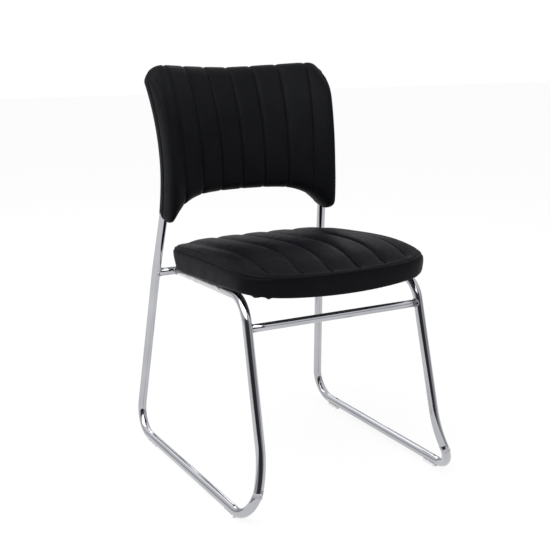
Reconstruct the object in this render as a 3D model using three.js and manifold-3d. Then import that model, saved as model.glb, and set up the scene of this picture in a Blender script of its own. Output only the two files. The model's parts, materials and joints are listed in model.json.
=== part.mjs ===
// Sled base visitor chair with a ribbed seat and back, on a bent tube frame.
// Millimetres, +Z up. The chair faces -Y and is symmetric about the plane x = 0.
import * as THREE from "three";
import * as BufferGeometryUtils from "three/addons/utils/BufferGeometryUtils.js";
import Module from "manifold-3d";

const wasm = await Module();
wasm.setup();

// Fits shared by all the pieces
const fitGap = 0.3;
const cutOverrun = 6;
const weldDistance = 1e-4;

// Tube of the side frames and the crossbars
const tubeDiameter = 19;
const tubeWall = 1.5;
const frontBarDiameter = 16;
const chordTolerance = 0.5;
const tubeSides = 12;
const boreSides = 8;

// Glides under the runners
const glideFloorThickness = 3;
const glideLength = 40;
const glideWidth = 17;
const glideWrapHeight = 6;
const glideCornerRadius = 4;
const glidePegDiameter = 6;
const glidePegHeight = 6;
const glideFrontSetback = 83;
const glideRearSetback = 86;

// Vent holes on top of the runners, where the plating drains from the tubes
const ventDiameter = 5;
const ventFrontSetback = 72;
const ventRearSetback = 95;

// Side frame, measured on the tube's centreline: spans from the plane x = 0,
// setbacks forward from the rear floor bend, heights from the floor
const runnerHalfSpan = 240.6;
const runnerLength = 555;
const legTopHalfSpan = 211.2;
const legTopSetback = 52;
const railRearHeight = 386;
const railRearHalfSpan = 160;
const postLean = 0.195;
const postInwardLean = 0.087;
const postBendRise = 250;
const postBendRadius = 411;
const postTopStraight = 5.3;
const postTopLean = 0.4;
const rearLegKinkRadius = 420;
const rearFloorBendRadius = 55;
const frontFloorBendRadius = 52;
const flareHeight = 100;
const flareHalfSpan = 204;
const flareSetback = 531.9;
const flareBendRadius = 264;
const legFrontHalfSpan = 196.7;
const legFrontTopHeight = 417;
const legFrontTopSetback = 448.2;
const frontTopBendRadius = 60;

// Crossbars, whose ends stop short of the tubes' centrelines
const frontBarDrop = 56;
const barEndSetback = 5;

// Seat outline in the plane of the rails, setbacks forward from the rear crossbar
const seatRearHalfWidth = 201;
const seatFrontHalfWidth = 211;
const seatRearSetback = 38;
const seatFrontSetback = 467;
const seatFrontSquareness = 7;
const seatRearSquareness = 9;
const seatFrontBow = 20;
const seatRearBow = 9;
const seatBowPower = 3;

// Seat cover, heights above the plane of the rails
const seatSeamRearHeight = 63;
const seatSeamFrontHeight = 37;
const seatSeamArch = 4;
const seatRearCrown = 14;
const seatMiddleCrown = 24;
const seatFrontCrown = 13;
const seatDish = 3;
const seatCrownRoll = 40;
const seatRollInset = 5;
const seatRollMidInset = 17;
const seatChannelPitch = 60;
const seatChannelDepth = 8;
const seatCreaseWidth = 8;
const seatOuterCreaseWidth = 28;
const seatValleyFade = 22;
const seatBandBulge = 4;
const seatBottomHeight = 12;
const seatBottomRearInset = 14;
const seatBottomFrontOutset = 5;
const seatBottomTaperLength = 362;
const seatBottomEndInset = 5.5;
const seatBottomRoll = 5;
const seatLipDroop = 11;
const seatLipStart = 370;
const seatCoverThickness = 1.8;
const seatFlangeWidth = 10;
const seatRows = 7;
const seatChannelHalves = 5;

// Seat board, cushion and dust cover
const seatBoardThickness = 12;
const seatBoardInset = 5.5;
const dustCoverThickness = 1.2;
const dustCoverMargin = 1.5;
const seatFoamRise = 0.5;
const seatFoamShoulder = 3;
const seatFoamEdgeInset = 5;
const seatFoamTopInset = 14;

// Back, whose side profile is an arc about an axis just below and ahead of the
// centre of the posts' bend: the heights of its outline are from that axis, and
// its edges lie ahead of the bend's radius or behind it
const backAxisAhead = 2.2;
const backAxisBelow = 3.1;
const backEdgeHalfSpan = 207;
const backFrontEdgeAhead = 56.5;
const backFrontSagitta = 71.5;
const backRearEdgeBehind = 14;
const backRearSagitta = 45;
const backWaistHalfWidth = 204.4;
const backWaistRise = 20;
const backFlareGain = 9;
const backFlareHeight = 190;
const backTipGain = 3.5;
const backTipTaperHeight = 107;
const backTipTaperPower = 1.3;
const backTopRise = 228.5;
const backTopDip = 9.7;
const backTopDipHalfSpan = 168;
const backTopCornerRadius = 20;
const backFaceCornerRadius = 56;
const backArchFall = 36;
const backArchDrop = 55;
const backTipHalfSpan = 191.5;
const backTipRounding = 13;
const backArchSquareness = 5.2;
const backSeamShare = 0.34;
const backSeamGap = 0.8;
const backFrontThickness = 3;
const backRearThickness = 1.8;
const backChannelPitch = 54;
const backChannelDepth = 3.5;
const backCreaseWidth = 7;
const backOuterCreaseWidth = 24;
const backValleyFade = 10;
const backSideRoll = 15;
const backTopRoll = 26;
const backBottomRoll = 20;
const backTipRoll = 32;
const backTipRollPower = 4;
const backRearRoll = 9;
const backEdgeRollBack = 24;
const backSeamHalfSpan = 160;

// Back board and cushions
const backBoardThickness = 8;
const backBoardEdgeAhead = 37;
const backBoardSagitta = 70;
const backBoardInset = 14;
const backFoamDepth = 10;
const backFoamInset = 26;
const backPadHalfWidth = 165;
const backPadClearance = 3.4;
const backPadInset = 12;
const softClearance = 1.2;
const backSlabRows = 8;
const backBoardFlatness = 0.75;

// Fixings: a screw through a saddle into a tee nut
const seatScrewRearSetback = 105;
const seatScrewFrontSetback = 290;
const backScrewLowRise = 27;
const backScrewHighRise = 107;
const screwDiameter = 6;
const screwHeadDiameter = 10;
const screwHeadHeight = 3.5;
const screwHeadSeat = 5;
const screwHoleClearance = 0.6;
const accessHoleDiameter = 13;
const nutFlangeDiameter = 16;
const nutFlangeThickness = 1.6;
const nutBarrelDiameter = 9;
const nutBarrelLength = 6;
const nutBoreClearance = 0.3;
const saddleLength = 24;
const saddleWidth = 15;
const saddleDrop = 5;
const seatSaddleThickness = 1.9;
const screwSides = 10;

// Plugs in the open ends of the posts
const plugCapThickness = 2.5;
const plugStemLength = 10;
const plugStemDiameter = 13;

// Shared derived sizes
const tubeRadius = tubeDiameter / 2;
const boreRadius = tubeRadius - tubeWall;
const runnerHeight = glideFloorThickness + tubeRadius;

// Materials
function finish(color, roughness, metalness) {
  return new THREE.MeshStandardMaterial({ color, roughness, metalness });
}
const chrome = finish(0xc8cacd, 0.08, 1);
const leather = finish(0x1b1c20, 0.45, 0);
const foamFinish = finish(0xd9cfa8, 0.95, 0);
const plywood = finish(0xb58a56, 0.7, 0);
const glidePlastic = finish(0xd6d8d6, 0.4, 0);
const blackPlastic = finish(0x15161a, 0.5, 0);
const zincSteel = finish(0x9c9fa3, 0.35, 1);
const dustCloth = finish(0x101012, 0.95, 0);

const chair = new THREE.Group();

// Solids for joining and cutting
function toSolid(geometry) {
  const bare = geometry.clone();
  bare.deleteAttribute("normal");
  bare.deleteAttribute("uv");
  const merged = BufferGeometryUtils.mergeVertices(bare, weldDistance);
  return new wasm.Manifold(new wasm.Mesh({
    numProp: 3,
    vertProperties: new Float32Array(merged.attributes.position.array),
    triVerts: new Uint32Array(merged.index.array),
  }));
}

function toGeometry(solid) {
  const mesh = solid.getMesh();
  const geometry = new THREE.BufferGeometry();
  geometry.setAttribute("position", new THREE.BufferAttribute(mesh.vertProperties, 3));
  geometry.setIndex(new THREE.BufferAttribute(mesh.triVerts, 1));
  geometry.computeVertexNormals();
  return geometry;
}

function cutFrom(geometry, cutters) {
  return toGeometry(cutters.reduce((left, cutter) => left.subtract(toSolid(cutter)), toSolid(geometry)));
}

function joined(geometries) {
  const [first, ...rest] = geometries.map(toSolid);
  return toGeometry(rest.reduce((sum, next) => sum.add(next), first));
}

function addMesh(name, geometry, material, parent = chair) {
  const mesh = new THREE.Mesh(geometry, material);
  mesh.name = name;
  parent.add(mesh);
  return mesh;
}

// A rod between two points
function rod(start, end, radius, sides) {
  const axis = end.clone().sub(start);
  const geometry = new THREE.CylinderGeometry(radius, radius, axis.length(), sides);
  const turn = new THREE.Quaternion().setFromUnitVectors(
    new THREE.Vector3(0, 1, 0), axis.clone().normalize());
  geometry.applyQuaternion(turn);
  const middle = start.clone().add(end).multiplyScalar(1 / 2);
  return geometry.translate(middle.x, middle.y, middle.z);
}

// A body turned about the line from start towards end, from [radius, height] pairs
function turned(profile, start, direction, sides) {
  const points = profile.map(([radius, height]) => new THREE.Vector2(radius, height));
  const geometry = new THREE.LatheGeometry(points, sides);
  const turn = new THREE.Quaternion().setFromUnitVectors(
    new THREE.Vector3(0, 1, 0), direction.clone().normalize());
  geometry.applyQuaternion(turn);
  return geometry.translate(start.x, start.y, start.z);
}

// A bent tube's centreline: straight runs, and an arc of the given radius at each corner
class BentLine extends THREE.Curve {
  constructor(corners, radii) {
    super();
    this.stations = BentLine.layOut(corners, radii);
  }

  // The bend at a corner: its turn, centre, and headings in and toward the centre
  static bend(previous, corner, next, radius) {
    const before = corner.clone().sub(previous).normalize();
    const after = next.clone().sub(corner).normalize();
    const turn = before.angleTo(after);
    const inward = after.clone().addScaledVector(before, -Math.cos(turn)).normalize();
    const centre = corner.clone().addScaledVector(before, -radius * Math.tan(turn / 2))
      .addScaledVector(inward, radius);
    return { before, inward, turn, centre };
  }

  static layOut(corners, radii) {
    const last = corners.length - 1;
    const heading = (from, to) => corners[to].clone().sub(corners[from]).normalize();
    const stations = [{ point: corners[0], tangent: heading(0, 1) }];
    for (let i = 1; i < last; i += 1) {
      const { before, inward, turn, centre } = BentLine.bend(corners[i - 1], corners[i],
        corners[i + 1], radii[i - 1]);
      const stepAngle = 2 * Math.acos(1 - chordTolerance / radii[i - 1]);
      const steps = Math.max(1, Math.ceil(turn / stepAngle));
      for (let k = 0; k <= steps; k += 1) {
        const angle = turn * k / steps;
        const point = centre.clone()
          .addScaledVector(inward, -radii[i - 1] * Math.cos(angle))
          .addScaledVector(before, radii[i - 1] * Math.sin(angle));
        const tangent = before.clone().multiplyScalar(Math.cos(angle))
          .addScaledVector(inward, Math.sin(angle));
        stations.push({ point, tangent });
      }
    }
    stations.push({ point: corners[last], tangent: heading(last - 1, last) });
    return stations;
  }

  get steps() {
    return this.stations.length - 1;
  }

  stationAt(u) {
    return this.stations[Math.round(u * this.steps)];
  }

  getPoint(u) {
    return this.stationAt(u).point.clone();
  }

  getPointAt(u) {
    return this.getPoint(u);
  }

  getTangentAt(u) {
    return this.stationAt(u).tangent.clone();
  }
}

function circle(radius, sides) {
  const points = [];
  for (let i = 0; i < sides; i += 1) {
    const angle = 2 * Math.PI * (i + 1 / 2) / sides;
    points.push(new THREE.Vector2(radius * Math.cos(angle), radius * Math.sin(angle)));
  }
  return points;
}

function sweep(line, outerRadius, innerRadius) {
  const section = new THREE.Shape(circle(outerRadius, tubeSides));
  if (innerRadius > 0) {
    section.holes.push(new THREE.Path(circle(innerRadius, boreSides)));
  }
  return new THREE.ExtrudeGeometry(section, {
    steps: line.steps,
    extrudePath: line,
    bevelEnabled: false,
  });
}

// Side frame: post, rear leg, runner, front leg and seat rail, bent from one tube
const railPitch = Math.atan2(legFrontTopHeight - railRearHeight, legFrontTopSetback - legTopSetback);
const railLength = Math.hypot(legFrontTopHeight - railRearHeight, legFrontTopSetback - legTopSetback);
const sides = [["left", -1], ["right", 1]];

function legTop(side) {
  return new THREE.Vector3(side * legTopHalfSpan, -legTopSetback, railRearHeight);
}

function flarePoint(side) {
  return new THREE.Vector3(side * flareHalfSpan, -flareSetback, flareHeight);
}

function legFrontTop(side) {
  return new THREE.Vector3(side * legFrontHalfSpan, -legFrontTopSetback, legFrontTopHeight);
}

function rearFloorCorner(side) {
  return new THREE.Vector3(side * runnerHalfSpan, 0, runnerHeight);
}

function postBend(side) {
  return new THREE.Vector3(-side * postInwardLean, -postLean, 1)
    .multiplyScalar(postBendRise).add(legTop(side));
}

function postTop(side) {
  const bend = postBend(side);
  const heading = new THREE.Vector3(-side * postInwardLean, postTopLean, 1).normalize();
  const turn = heading.angleTo(bend.clone().sub(legTop(side)));
  const run = postBendRadius * Math.tan(turn / 2) + postTopStraight;
  return heading.multiplyScalar(run).add(bend);
}

function sideLine(side) {
  const corners = [
    postTop(side),
    postBend(side),
    legTop(side),
    rearFloorCorner(side),
    new THREE.Vector3(side * runnerHalfSpan, -runnerLength, runnerHeight),
    flarePoint(side),
    legFrontTop(side),
    new THREE.Vector3(side * railRearHalfSpan, -legTopSetback, railRearHeight),
  ];
  const radii = [postBendRadius, rearLegKinkRadius, rearFloorBendRadius, frontFloorBendRadius,
    flareBendRadius, frontTopBendRadius];
  return new BentLine(corners, radii);
}

// A point of a bent line and the line's heading there, found by height
function pointAtHeight(line, height) {
  const { stations } = line;
  const next = stations.findIndex((station) => station.point.z <= height);
  const above = stations[next - 1];
  const below = stations[next];
  const share = (above.point.z - height) / (above.point.z - below.point.z);
  return {
    point: above.point.clone().lerp(below.point, share),
    heading: above.tangent.clone().lerp(below.tangent, share).normalize(),
  };
}

// Seat positions: x across, y rearward in the plane of the rails, z above that plane
function seatPoint(x, y, z) {
  return new THREE.Vector3(x,
    -legTopSetback + y * Math.cos(railPitch) + z * Math.sin(railPitch),
    railRearHeight - y * Math.sin(railPitch) + z * Math.cos(railPitch));
}
const seatUp = new THREE.Vector3(0, Math.sin(railPitch), Math.cos(railPitch));

function railAt(side, setback) {
  const share = setback / railLength;
  const x = side * (railRearHalfSpan + (legFrontHalfSpan - railRearHalfSpan) * share);
  return seatPoint(x, -setback, 0);
}

// Axis of the back's arc, and the heights that follow it
const postArc = BentLine.bend(postTop(1), postBend(1), legTop(1), postBendRadius).centre;
const backAxisDepth = postArc.y - backAxisAhead;
const backAxisHeight = postArc.z - backAxisBelow;
const backWaistHeight = backAxisHeight + backWaistRise;
const backTopHeight = backAxisHeight + backTopRise;
const backArchHeight = backAxisHeight - backArchFall;
const backFrontEdgeRadius = postBendRadius + backFrontEdgeAhead;
const backRearEdgeRadius = postBendRadius - backRearEdgeBehind;
const backBoardEdgeRadius = postBendRadius + backBoardEdgeAhead;

// Back positions: x across, an angle up the arc, a radius from the arc's axis
function backPoint(x, angle, radius) {
  return new THREE.Vector3(x, backAxisDepth - radius * Math.cos(angle),
    backAxisHeight + radius * Math.sin(angle));
}

function dishShare(x) {
  return 1 - (x / backEdgeHalfSpan) ** 2;
}

function frontRadius(x) {
  return backFrontEdgeRadius - backFrontSagitta * dishShare(x);
}

function rearRadius(x) {
  return backRearEdgeRadius - backRearSagitta * dishShare(x);
}

function seamRadius(x) {
  return mix(rearRadius(x), frontRadius(x), backSeamShare);
}

function boardFrontRadius(x) {
  return backBoardEdgeRadius - backBoardSagitta * dishShare(x);
}

function boardRearRadius(x) {
  return boardFrontRadius(x) - backBoardThickness;
}

// Surfaces gathered from points and triangles
class Skin {
  constructor() {
    this.points = [];
    this.triangles = [];
  }

  add(points) {
    return points.map((point) => this.points.push(point) - 1);
  }

  quad(a, b, c, d) {
    this.triangles.push([a, b, c], [a, c, d]);
  }

  sheet(rows) {
    for (let i = 1; i < rows.length; i += 1) {
      for (let j = 1; j < rows[i].length; j += 1) {
        this.quad(rows[i - 1][j - 1], rows[i - 1][j], rows[i][j], rows[i][j - 1]);
      }
    }
  }

  wall(first, second) {
    first.forEach((index, k) => {
      const after = (k + 1) % first.length;
      this.quad(index, second[k], second[after], first[after]);
    });
  }

  // Closes a seat loop with strips from front to rear and a fan at each side
  cap(loop, turnedOver) {
    const columns = loop.length / 2 - seatRows;
    const at = (k) => loop[k % loop.length];
    const faces = [];
    const rear = (j) => at(2 * columns + seatRows - j);
    for (let j = 0; j < columns; j += 1) {
      faces.push([at(j), at(j + 1), rear(j + 1)], [at(j), rear(j + 1), rear(j)]);
    }
    for (let i = 1; i < seatRows; i += 1) {
      faces.push([at(columns), at(columns + i), at(columns + i + 1)]);
      faces.push([rear(0), at(2 * columns + seatRows + i), at(2 * columns + seatRows + i + 1)]);
    }
    faces.forEach(([a, b, c]) => this.triangles.push(turnedOver ? [a, c, b] : [a, b, c]));
  }

  // Adds an inner copy of an open skin, moved in by the thickness, and closes the rim
  thicken(thickness) {
    const normals = this.points.map(() => new THREE.Vector3());
    const inwards = [];
    const directed = new Set(this.triangles.flatMap(([a, b, c]) => [`${a} ${b}`, `${b} ${c}`, `${c} ${a}`]));
    const rim = [];
    this.triangles.forEach(([a, b, c]) => {
      const across = this.points[b].clone().sub(this.points[a]);
      const along = this.points[c].clone().sub(this.points[a]);
      const normal = across.cross(along);
      [a, b, c].forEach((k) => normals[k].add(normal));
      [[a, b], [b, c], [c, a]].forEach(([from, to]) => {
        if (!directed.has(`${to} ${from}`)) rim.push([from, to]);
      });
      inwards.push([a, c, b]);
    });
    const inner = this.add(this.points.map((point, k) => point.clone()
      .addScaledVector(normals[k].normalize(), -thickness)));
    inwards.forEach((triangle) => this.triangles.push(triangle.map((k) => inner[k])));
    rim.forEach(([from, to]) => this.quad(from, inner[from], inner[to], to));
  }

  get volume() {
    return this.triangles.reduce((sum, [a, b, c]) => (
      sum + this.points[a].dot(this.points[b].clone().cross(this.points[c])) / 6), 0);
  }

  turnOver() {
    this.triangles = this.triangles.map(([a, b, c]) => [a, c, b]);
  }

  geometry() {
    if (this.volume < 0) this.turnOver();
    const geometry = new THREE.BufferGeometry();
    const positions = this.points.flatMap((point) => point.toArray());
    geometry.setAttribute("position", new THREE.Float32BufferAttribute(positions, 3));
    geometry.setIndex(this.triangles.flat());
    geometry.computeVertexNormals();
    return geometry;
  }
}

function clampShare(value) {
  return Math.min(1, Math.max(0, value));
}

function mix(from, to, share) {
  return from + (to - from) * share;
}

// Seat outline: a squared oval, fuller at the rear than at the front
const seatMiddle = -(seatRearSetback + seatFrontSetback) / 2;
const seatHalfDepth = (seatFrontSetback - seatRearSetback) / 2;
const seamReach = seatChannelHalves / 2 * seatChannelPitch;

function seatHalfWidth(y) {
  return mix(seatRearHalfWidth, seatFrontHalfWidth, clampShare(seatShare(y)));
}

function seatShare(y) {
  return (-y - seatRearSetback) / (2 * seatHalfDepth);
}

// A height given at the rear, the middle and the front of the seat
function arched(rear, middle, front, share) {
  return mix(rear, front, share) + 4 * (middle - (rear + front) / 2) * share * (1 - share);
}

function seatSeamHeight(y) {
  const middle = (seatSeamRearHeight + seatSeamFrontHeight) / 2 + seatSeamArch;
  return arched(seatSeamRearHeight, middle, seatSeamFrontHeight, clampShare(seatShare(y)));
}

function squaredOval(share, squareness) {
  return (1 - Math.abs(share) ** squareness) ** (1 / squareness);
}

// Columns of the seat grid: the seams, the creases beside them and the crowns between
const seatColumns = [];
for (let k = 0; k <= 2 * seatChannelHalves; k += 1) {
  const middle = (k - seatChannelHalves) / 2 * seatChannelPitch;
  const isSeam = k % 2 === 0;
  if (isSeam && k > 0) seatColumns.push(middle - seatCreaseWidth);
  seatColumns.push(middle);
  if (isSeam && k < 2 * seatChannelHalves) seatColumns.push(middle + seatCreaseWidth);
}

// One loop of the seat outline, inset at the sides and at the ends
function seatLoop(sideInset, endInset) {
  const depth = seatHalfDepth - endInset;
  const frontCorner = 2 ** (-1 / seatFrontSquareness);
  const rearCorner = 2 ** (-1 / seatRearSquareness);
  const reach = (y) => seatHalfWidth(y) - sideInset(y);
  const bowed = (across, share) => {
    const [bow, corner] = share < 0 ? [-seatFrontBow, frontCorner] : [seatRearBow, rearCorner];
    return seatMiddle + share * depth
      - bow * across ** 2 * Math.min(1, Math.abs(share) / corner) ** seatBowPower;
  };
  const endRow = (sign, corner, squareness) => {
    const width = reach(bowed(corner, sign * corner));
    return [-corner * width, ...seatColumns, corner * width].map((x) => (
      [x, bowed(x / width, sign * squaredOval(x / width, squareness))]));
  };
  const front = endRow(-1, frontCorner, seatFrontSquareness);
  const rear = endRow(1, rearCorner, seatRearSquareness);
  const flank = (sign) => {
    const points = [];
    for (let i = 0; i <= seatRows; i += 1) {
      const share = mix(-frontCorner, rearCorner, i / seatRows);
      const across = squaredOval(share, share < 0 ? seatFrontSquareness : seatRearSquareness);
      const y = bowed(across, share);
      points.push([sign * reach(y) * across, y]);
    }
    return points;
  };
  return { front, rear, left: flank(-1), right: flank(1) };
}

function loopPoints({ front, rear, left, right }, height) {
  const round = [...front.slice(0, -1), ...right.slice(0, -1),
    ...rear.slice(1).reverse(), ...left.slice(1).reverse()];
  return round.map(([x, y]) => seatPoint(x, y, height(x, y)));
}

// Height of the quilted top at a distance in from the seam
function seatValley(x) {
  const beyond = Math.abs(x) - seamReach;
  if (beyond > 0) return clampShare(1 - beyond / seatOuterCreaseWidth) ** 2;
  const offset = Math.abs(((Math.abs(x) + seatChannelPitch / 2) % seatChannelPitch) - seatChannelPitch / 2);
  return (offset / (seatChannelPitch / 2)) ** 3;
}

function seatTopHeight(x, y, inset) {
  const rise = Math.sqrt(1 - (1 - clampShare(inset / seatCrownRoll)) ** 2);
  const dish = seatDish * (1 - (x / seatRearHalfWidth) ** 2) * (1 - ((y - seatMiddle) / seatHalfDepth) ** 2);
  const valley = seatChannelDepth * seatValley(x) * clampShare(inset / seatValleyFade);
  const crown = arched(seatRearCrown, seatMiddleCrown, seatFrontCrown, clampShare(seatShare(y)));
  return seatSeamHeight(y) + rise * crown - dish - valley;
}

// Underside of the seat: narrower at the rear, with a lip that droops at the front
function seatBottomInset(y) {
  return mix(seatBottomRearInset, -seatBottomFrontOutset,
    clampShare((-y - seatRearSetback) / seatBottomTaperLength));
}

function seatBottom(y) {
  const lip = (-y - seatLipStart) / (seatFrontSetback - seatLipStart);
  return seatBottomHeight - seatLipDroop * clampShare(lip) ** 2;
}

function buildSeatCover() {
  const skin = new Skin();
  const insetLoop = (inset) => seatLoop(() => inset, inset);
  const core = insetLoop(seatCrownRoll);
  const coreTop = (x, y) => seatPoint(x, y, seatTopHeight(x, y, seatCrownRoll));
  const columns = core.front.length - 1;
  const rows = [];
  for (let i = 0; i <= seatRows; i += 1) {
    const row = [];
    for (let j = 0; j <= columns; j += 1) {
      const across = (core.front[j][0] - core.front[0][0]) / (2 * core.front[columns][0]);
      const along = i / seatRows;
      const [x, y] = [0, 1].map((k) => (
        mix(core.front[j][k], core.rear[j][k], along) + mix(core.left[i][k], core.right[i][k], across)
        - mix(mix(core.front[0][k], core.front[columns][k], across),
          mix(core.rear[0][k], core.rear[columns][k], across), along)));
      row.push(coreTop(x, y));
    }
    rows.push(skin.add(row));
  }
  skin.sheet(rows);
  const last = rows.length - 1;
  let loop = [...rows[0].slice(0, -1), ...rows.slice(0, -1).map((row) => row[columns]),
    ...rows[last].slice(1).reverse(), ...rows.slice(1).map((row) => row[0]).reverse()];
  const rings = [
    ...[seatRollMidInset, seatRollInset, 0].map((inset) => (
      loopPoints(insetLoop(inset), (x, y) => seatTopHeight(x, y, inset)))),
    loopPoints(seatLoop((y) => seatBottomInset(y) / 3 - seatBandBulge, -seatBandBulge),
      (x, y) => mix(seatSeamHeight(y), seatBottom(y), 1 / 3)),
    loopPoints(seatLoop((y) => seatBottomInset(y) - seatBottomRoll, seatBottomEndInset - seatBottomRoll),
      (x, y) => seatBottom(y) + seatBottomRoll),
    loopPoints(seatLoop(seatBottomInset, seatBottomEndInset), (x, y) => seatBottom(y)),
    loopPoints(seatLoop((y) => seatBottomInset(y) + seatFlangeWidth, seatBottomEndInset + seatFlangeWidth),
      (x, y) => seatBottom(y)),
  ];
  rings.forEach((ring) => {
    const next = skin.add(ring);
    skin.wall(loop, next);
    loop = next;
  });
  skin.thicken(seatCoverThickness);
  return skin.geometry();
}

// A flat-topped body between stacked loops
function stacked(loops) {
  const skin = new Skin();
  const indexes = loops.map((loop) => skin.add(loop));
  skin.cap(indexes[0], false);
  for (let i = 1; i < indexes.length; i += 1) skin.wall(indexes[i - 1], indexes[i]);
  skin.cap(indexes[indexes.length - 1], true);
  return skin.geometry();
}

function seatSlab(extraInset, bottom, thickness) {
  const outline = seatLoop((y) => seatBottomInset(y) + extraInset, seatBottomEndInset + extraInset);
  return stacked([bottom + thickness, bottom].map((height) => loopPoints(outline, () => height)));
}

const seatBoardBottom = seatBottomHeight + seatCoverThickness + fitGap;
const seatBoardTop = seatBoardBottom + seatBoardThickness;
const dustCoverBottom = seatBottomHeight + fitGap;

function buildSeatFoam() {
  const edge = (y) => Math.max(seatFoamEdgeInset, seatBottomInset(y));
  return stacked([
    loopPoints(seatLoop(() => seatFoamTopInset, seatFoamTopInset), (x, y) => seatSeamHeight(y) + seatFoamRise),
    loopPoints(seatLoop(() => seatFoamEdgeInset, seatFoamEdgeInset),
      (x, y) => seatSeamHeight(y) - seatFoamShoulder),
    loopPoints(seatLoop(edge, seatFoamEdgeInset), () => seatBoardTop + fitGap),
  ]);
}

// Back outline, by height across and by span upward
function backHalfWidth(height) {
  const above = height - backWaistHeight;
  if (above > 0) return backWaistHalfWidth + backFlareGain * (above / backFlareHeight) ** 2;
  return backWaistHalfWidth + backTipGain * (-above / backTipTaperHeight) ** backTipTaperPower;
}

function roundedDrop(radius, distance) {
  const reach = Math.max(0, radius - Math.max(0, distance));
  return radius - Math.sqrt(radius ** 2 - reach ** 2);
}

function backTop(x, halfWidth, cornerRadius) {
  return backTopHeight + backTopDip * (x / backTopDipHalfSpan) ** 2
    - roundedDrop(cornerRadius, halfWidth - Math.abs(x));
}

function backBottom(x, halfWidth) {
  const share = Math.min(1, Math.abs(x) / backTipHalfSpan);
  return backArchHeight - backArchDrop * share ** backArchSquareness
    + roundedDrop(backTipRounding, halfWidth - Math.abs(x));
}

// One place of the back: column outward from the last seam to the edge, row upward
function backPlace(column, row, sideInset, endInset, cornerRadius) {
  let { x } = column;
  let height = mix(backBottom(x, backWaistHalfWidth), backTop(x, backWaistHalfWidth, cornerRadius), row);
  let halfWidth = backHalfWidth(height);
  for (let pass = 0; pass < 4; pass += 1) {
    const limit = halfWidth - sideInset;
    x = column.place(limit);
    height = mix(backBottom(x, halfWidth) + endInset, backTop(x, halfWidth, cornerRadius) - endInset, row);
    halfWidth = backHalfWidth(height);
  }
  const angle = Math.asin((height - backAxisHeight) / (frontRadius(x) - backEdgeRollBack));
  const reach = {
    side: halfWidth - Math.abs(x),
    top: backTop(x, halfWidth, backFaceCornerRadius) - height,
    bottom: height - backBottom(x, halfWidth),
  };
  return { x, angle, reach };
}

// Columns at fixed places up to the last seam, then by share of the way to the edge
function fixedColumn(x) {
  return { x, place: () => x };
}

function edgeColumn(sign, share) {
  const place = (limit) => sign * mix(backSeamHalfSpan, limit, share);
  return { x: place(backWaistHalfWidth), place };
}

function spreadColumns(count) {
  return Array.from({ length: count + 1 }, (_, k) => {
    const share = 2 * k / count - 1;
    return { x: share * backSeamHalfSpan, place: (limit) => share * limit };
  });
}

const backOuterShares = [0.16, 0.42, 0.68, 0.88, 1];
const backColumns = [];
for (let k = -6; k <= 6; k += 1) {
  const middle = k / 2 * backChannelPitch;
  const scaled = middle * backSeamHalfSpan / (3 * backChannelPitch);
  const isSeam = k % 2 === 0;
  if (isSeam && k > -6) backColumns.push(fixedColumn(scaled - backCreaseWidth));
  backColumns.push(fixedColumn(scaled));
  if (isSeam && k < 6) backColumns.push(fixedColumn(scaled + backCreaseWidth));
}
backColumns.unshift(...backOuterShares.map((share) => edgeColumn(-1, share)).reverse());
backColumns.push(...backOuterShares.map((share) => edgeColumn(1, share)));
const backRowShares = [0, 0.016, 0.05, 0.2, 0.4, 0.6, 0.8, 0.925, 0.975, 1];

function backValley(x) {
  const beyond = Math.abs(x) - backSeamHalfSpan;
  if (beyond > 0) return clampShare(1 - beyond / backOuterCreaseWidth) ** 2;
  const pitch = backSeamHalfSpan / 3;
  const offset = Math.abs(((Math.abs(x) + pitch / 2) % pitch) - pitch / 2);
  return (1 - 2 * offset / pitch) ** 3;
}

function rollDepth(reach, sideRoll, topRoll, bottomRoll) {
  return Math.cbrt(roundedDrop(sideRoll, reach.side) ** 3 + roundedDrop(topRoll, reach.top) ** 3
    + roundedDrop(bottomRoll, reach.bottom) ** 3);
}

// An open back skin: a grid of places, then loops of its border at other radii
function backSkin(columns, rowShares, radiusAt, borderRadii) {
  const skin = new Skin();
  const places = rowShares.map((row) => columns.map((column) => (
    backPlace(column, row, 0, 0, backTopCornerRadius))));
  const rows = places.map((row) => skin.add(row.map((place) => (
    backPoint(place.x, place.angle, radiusAt(place))))));
  skin.sheet(rows);
  const border = (grid) => {
    const last = grid.length - 1;
    return [...grid[0].slice(0, -1), ...grid.slice(0, -1).map((row) => row[row.length - 1]),
      ...grid[last].slice(1).reverse(), ...grid.slice(1).map((row) => row[0]).reverse()];
  };
  let loop = border(rows);
  borderRadii.forEach((radius) => {
    const next = skin.add(border(places).map((place) => backPoint(place.x, place.angle, radius(place.x))));
    skin.wall(loop, next);
    loop = next;
  });
  return skin;
}

function buildBackFront() {
  const bottomRoll = (x) => mix(backBottomRoll, backTipRoll,
    clampShare(Math.abs(x) / backTipHalfSpan) ** backTipRollPower);
  const radiusAt = ({ x, reach }) => frontRadius(x)
    - rollDepth(reach, backSideRoll, backTopRoll, bottomRoll(x))
    - backChannelDepth * backValley(x) * clampShare(Math.min(reach.top, reach.bottom) / backValleyFade);
  const seam = (x) => seamRadius(x) + backSeamGap / 2;
  const skin = backSkin(backColumns, backRowShares, radiusAt, [seam]);
  skin.thicken(backFrontThickness);
  return skin.geometry();
}

function buildBackRear() {
  const radiusAt = ({ x, reach }) => rearRadius(x) + rollDepth(reach, backRearRoll, backRearRoll, backRearRoll);
  const seam = (x) => seamRadius(x) - backSeamGap / 2;
  const skin = backSkin(backColumns, backRowShares, radiusAt, [seam]);
  skin.turnOver();
  skin.thicken(backRearThickness);
  return skin.geometry();
}

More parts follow.
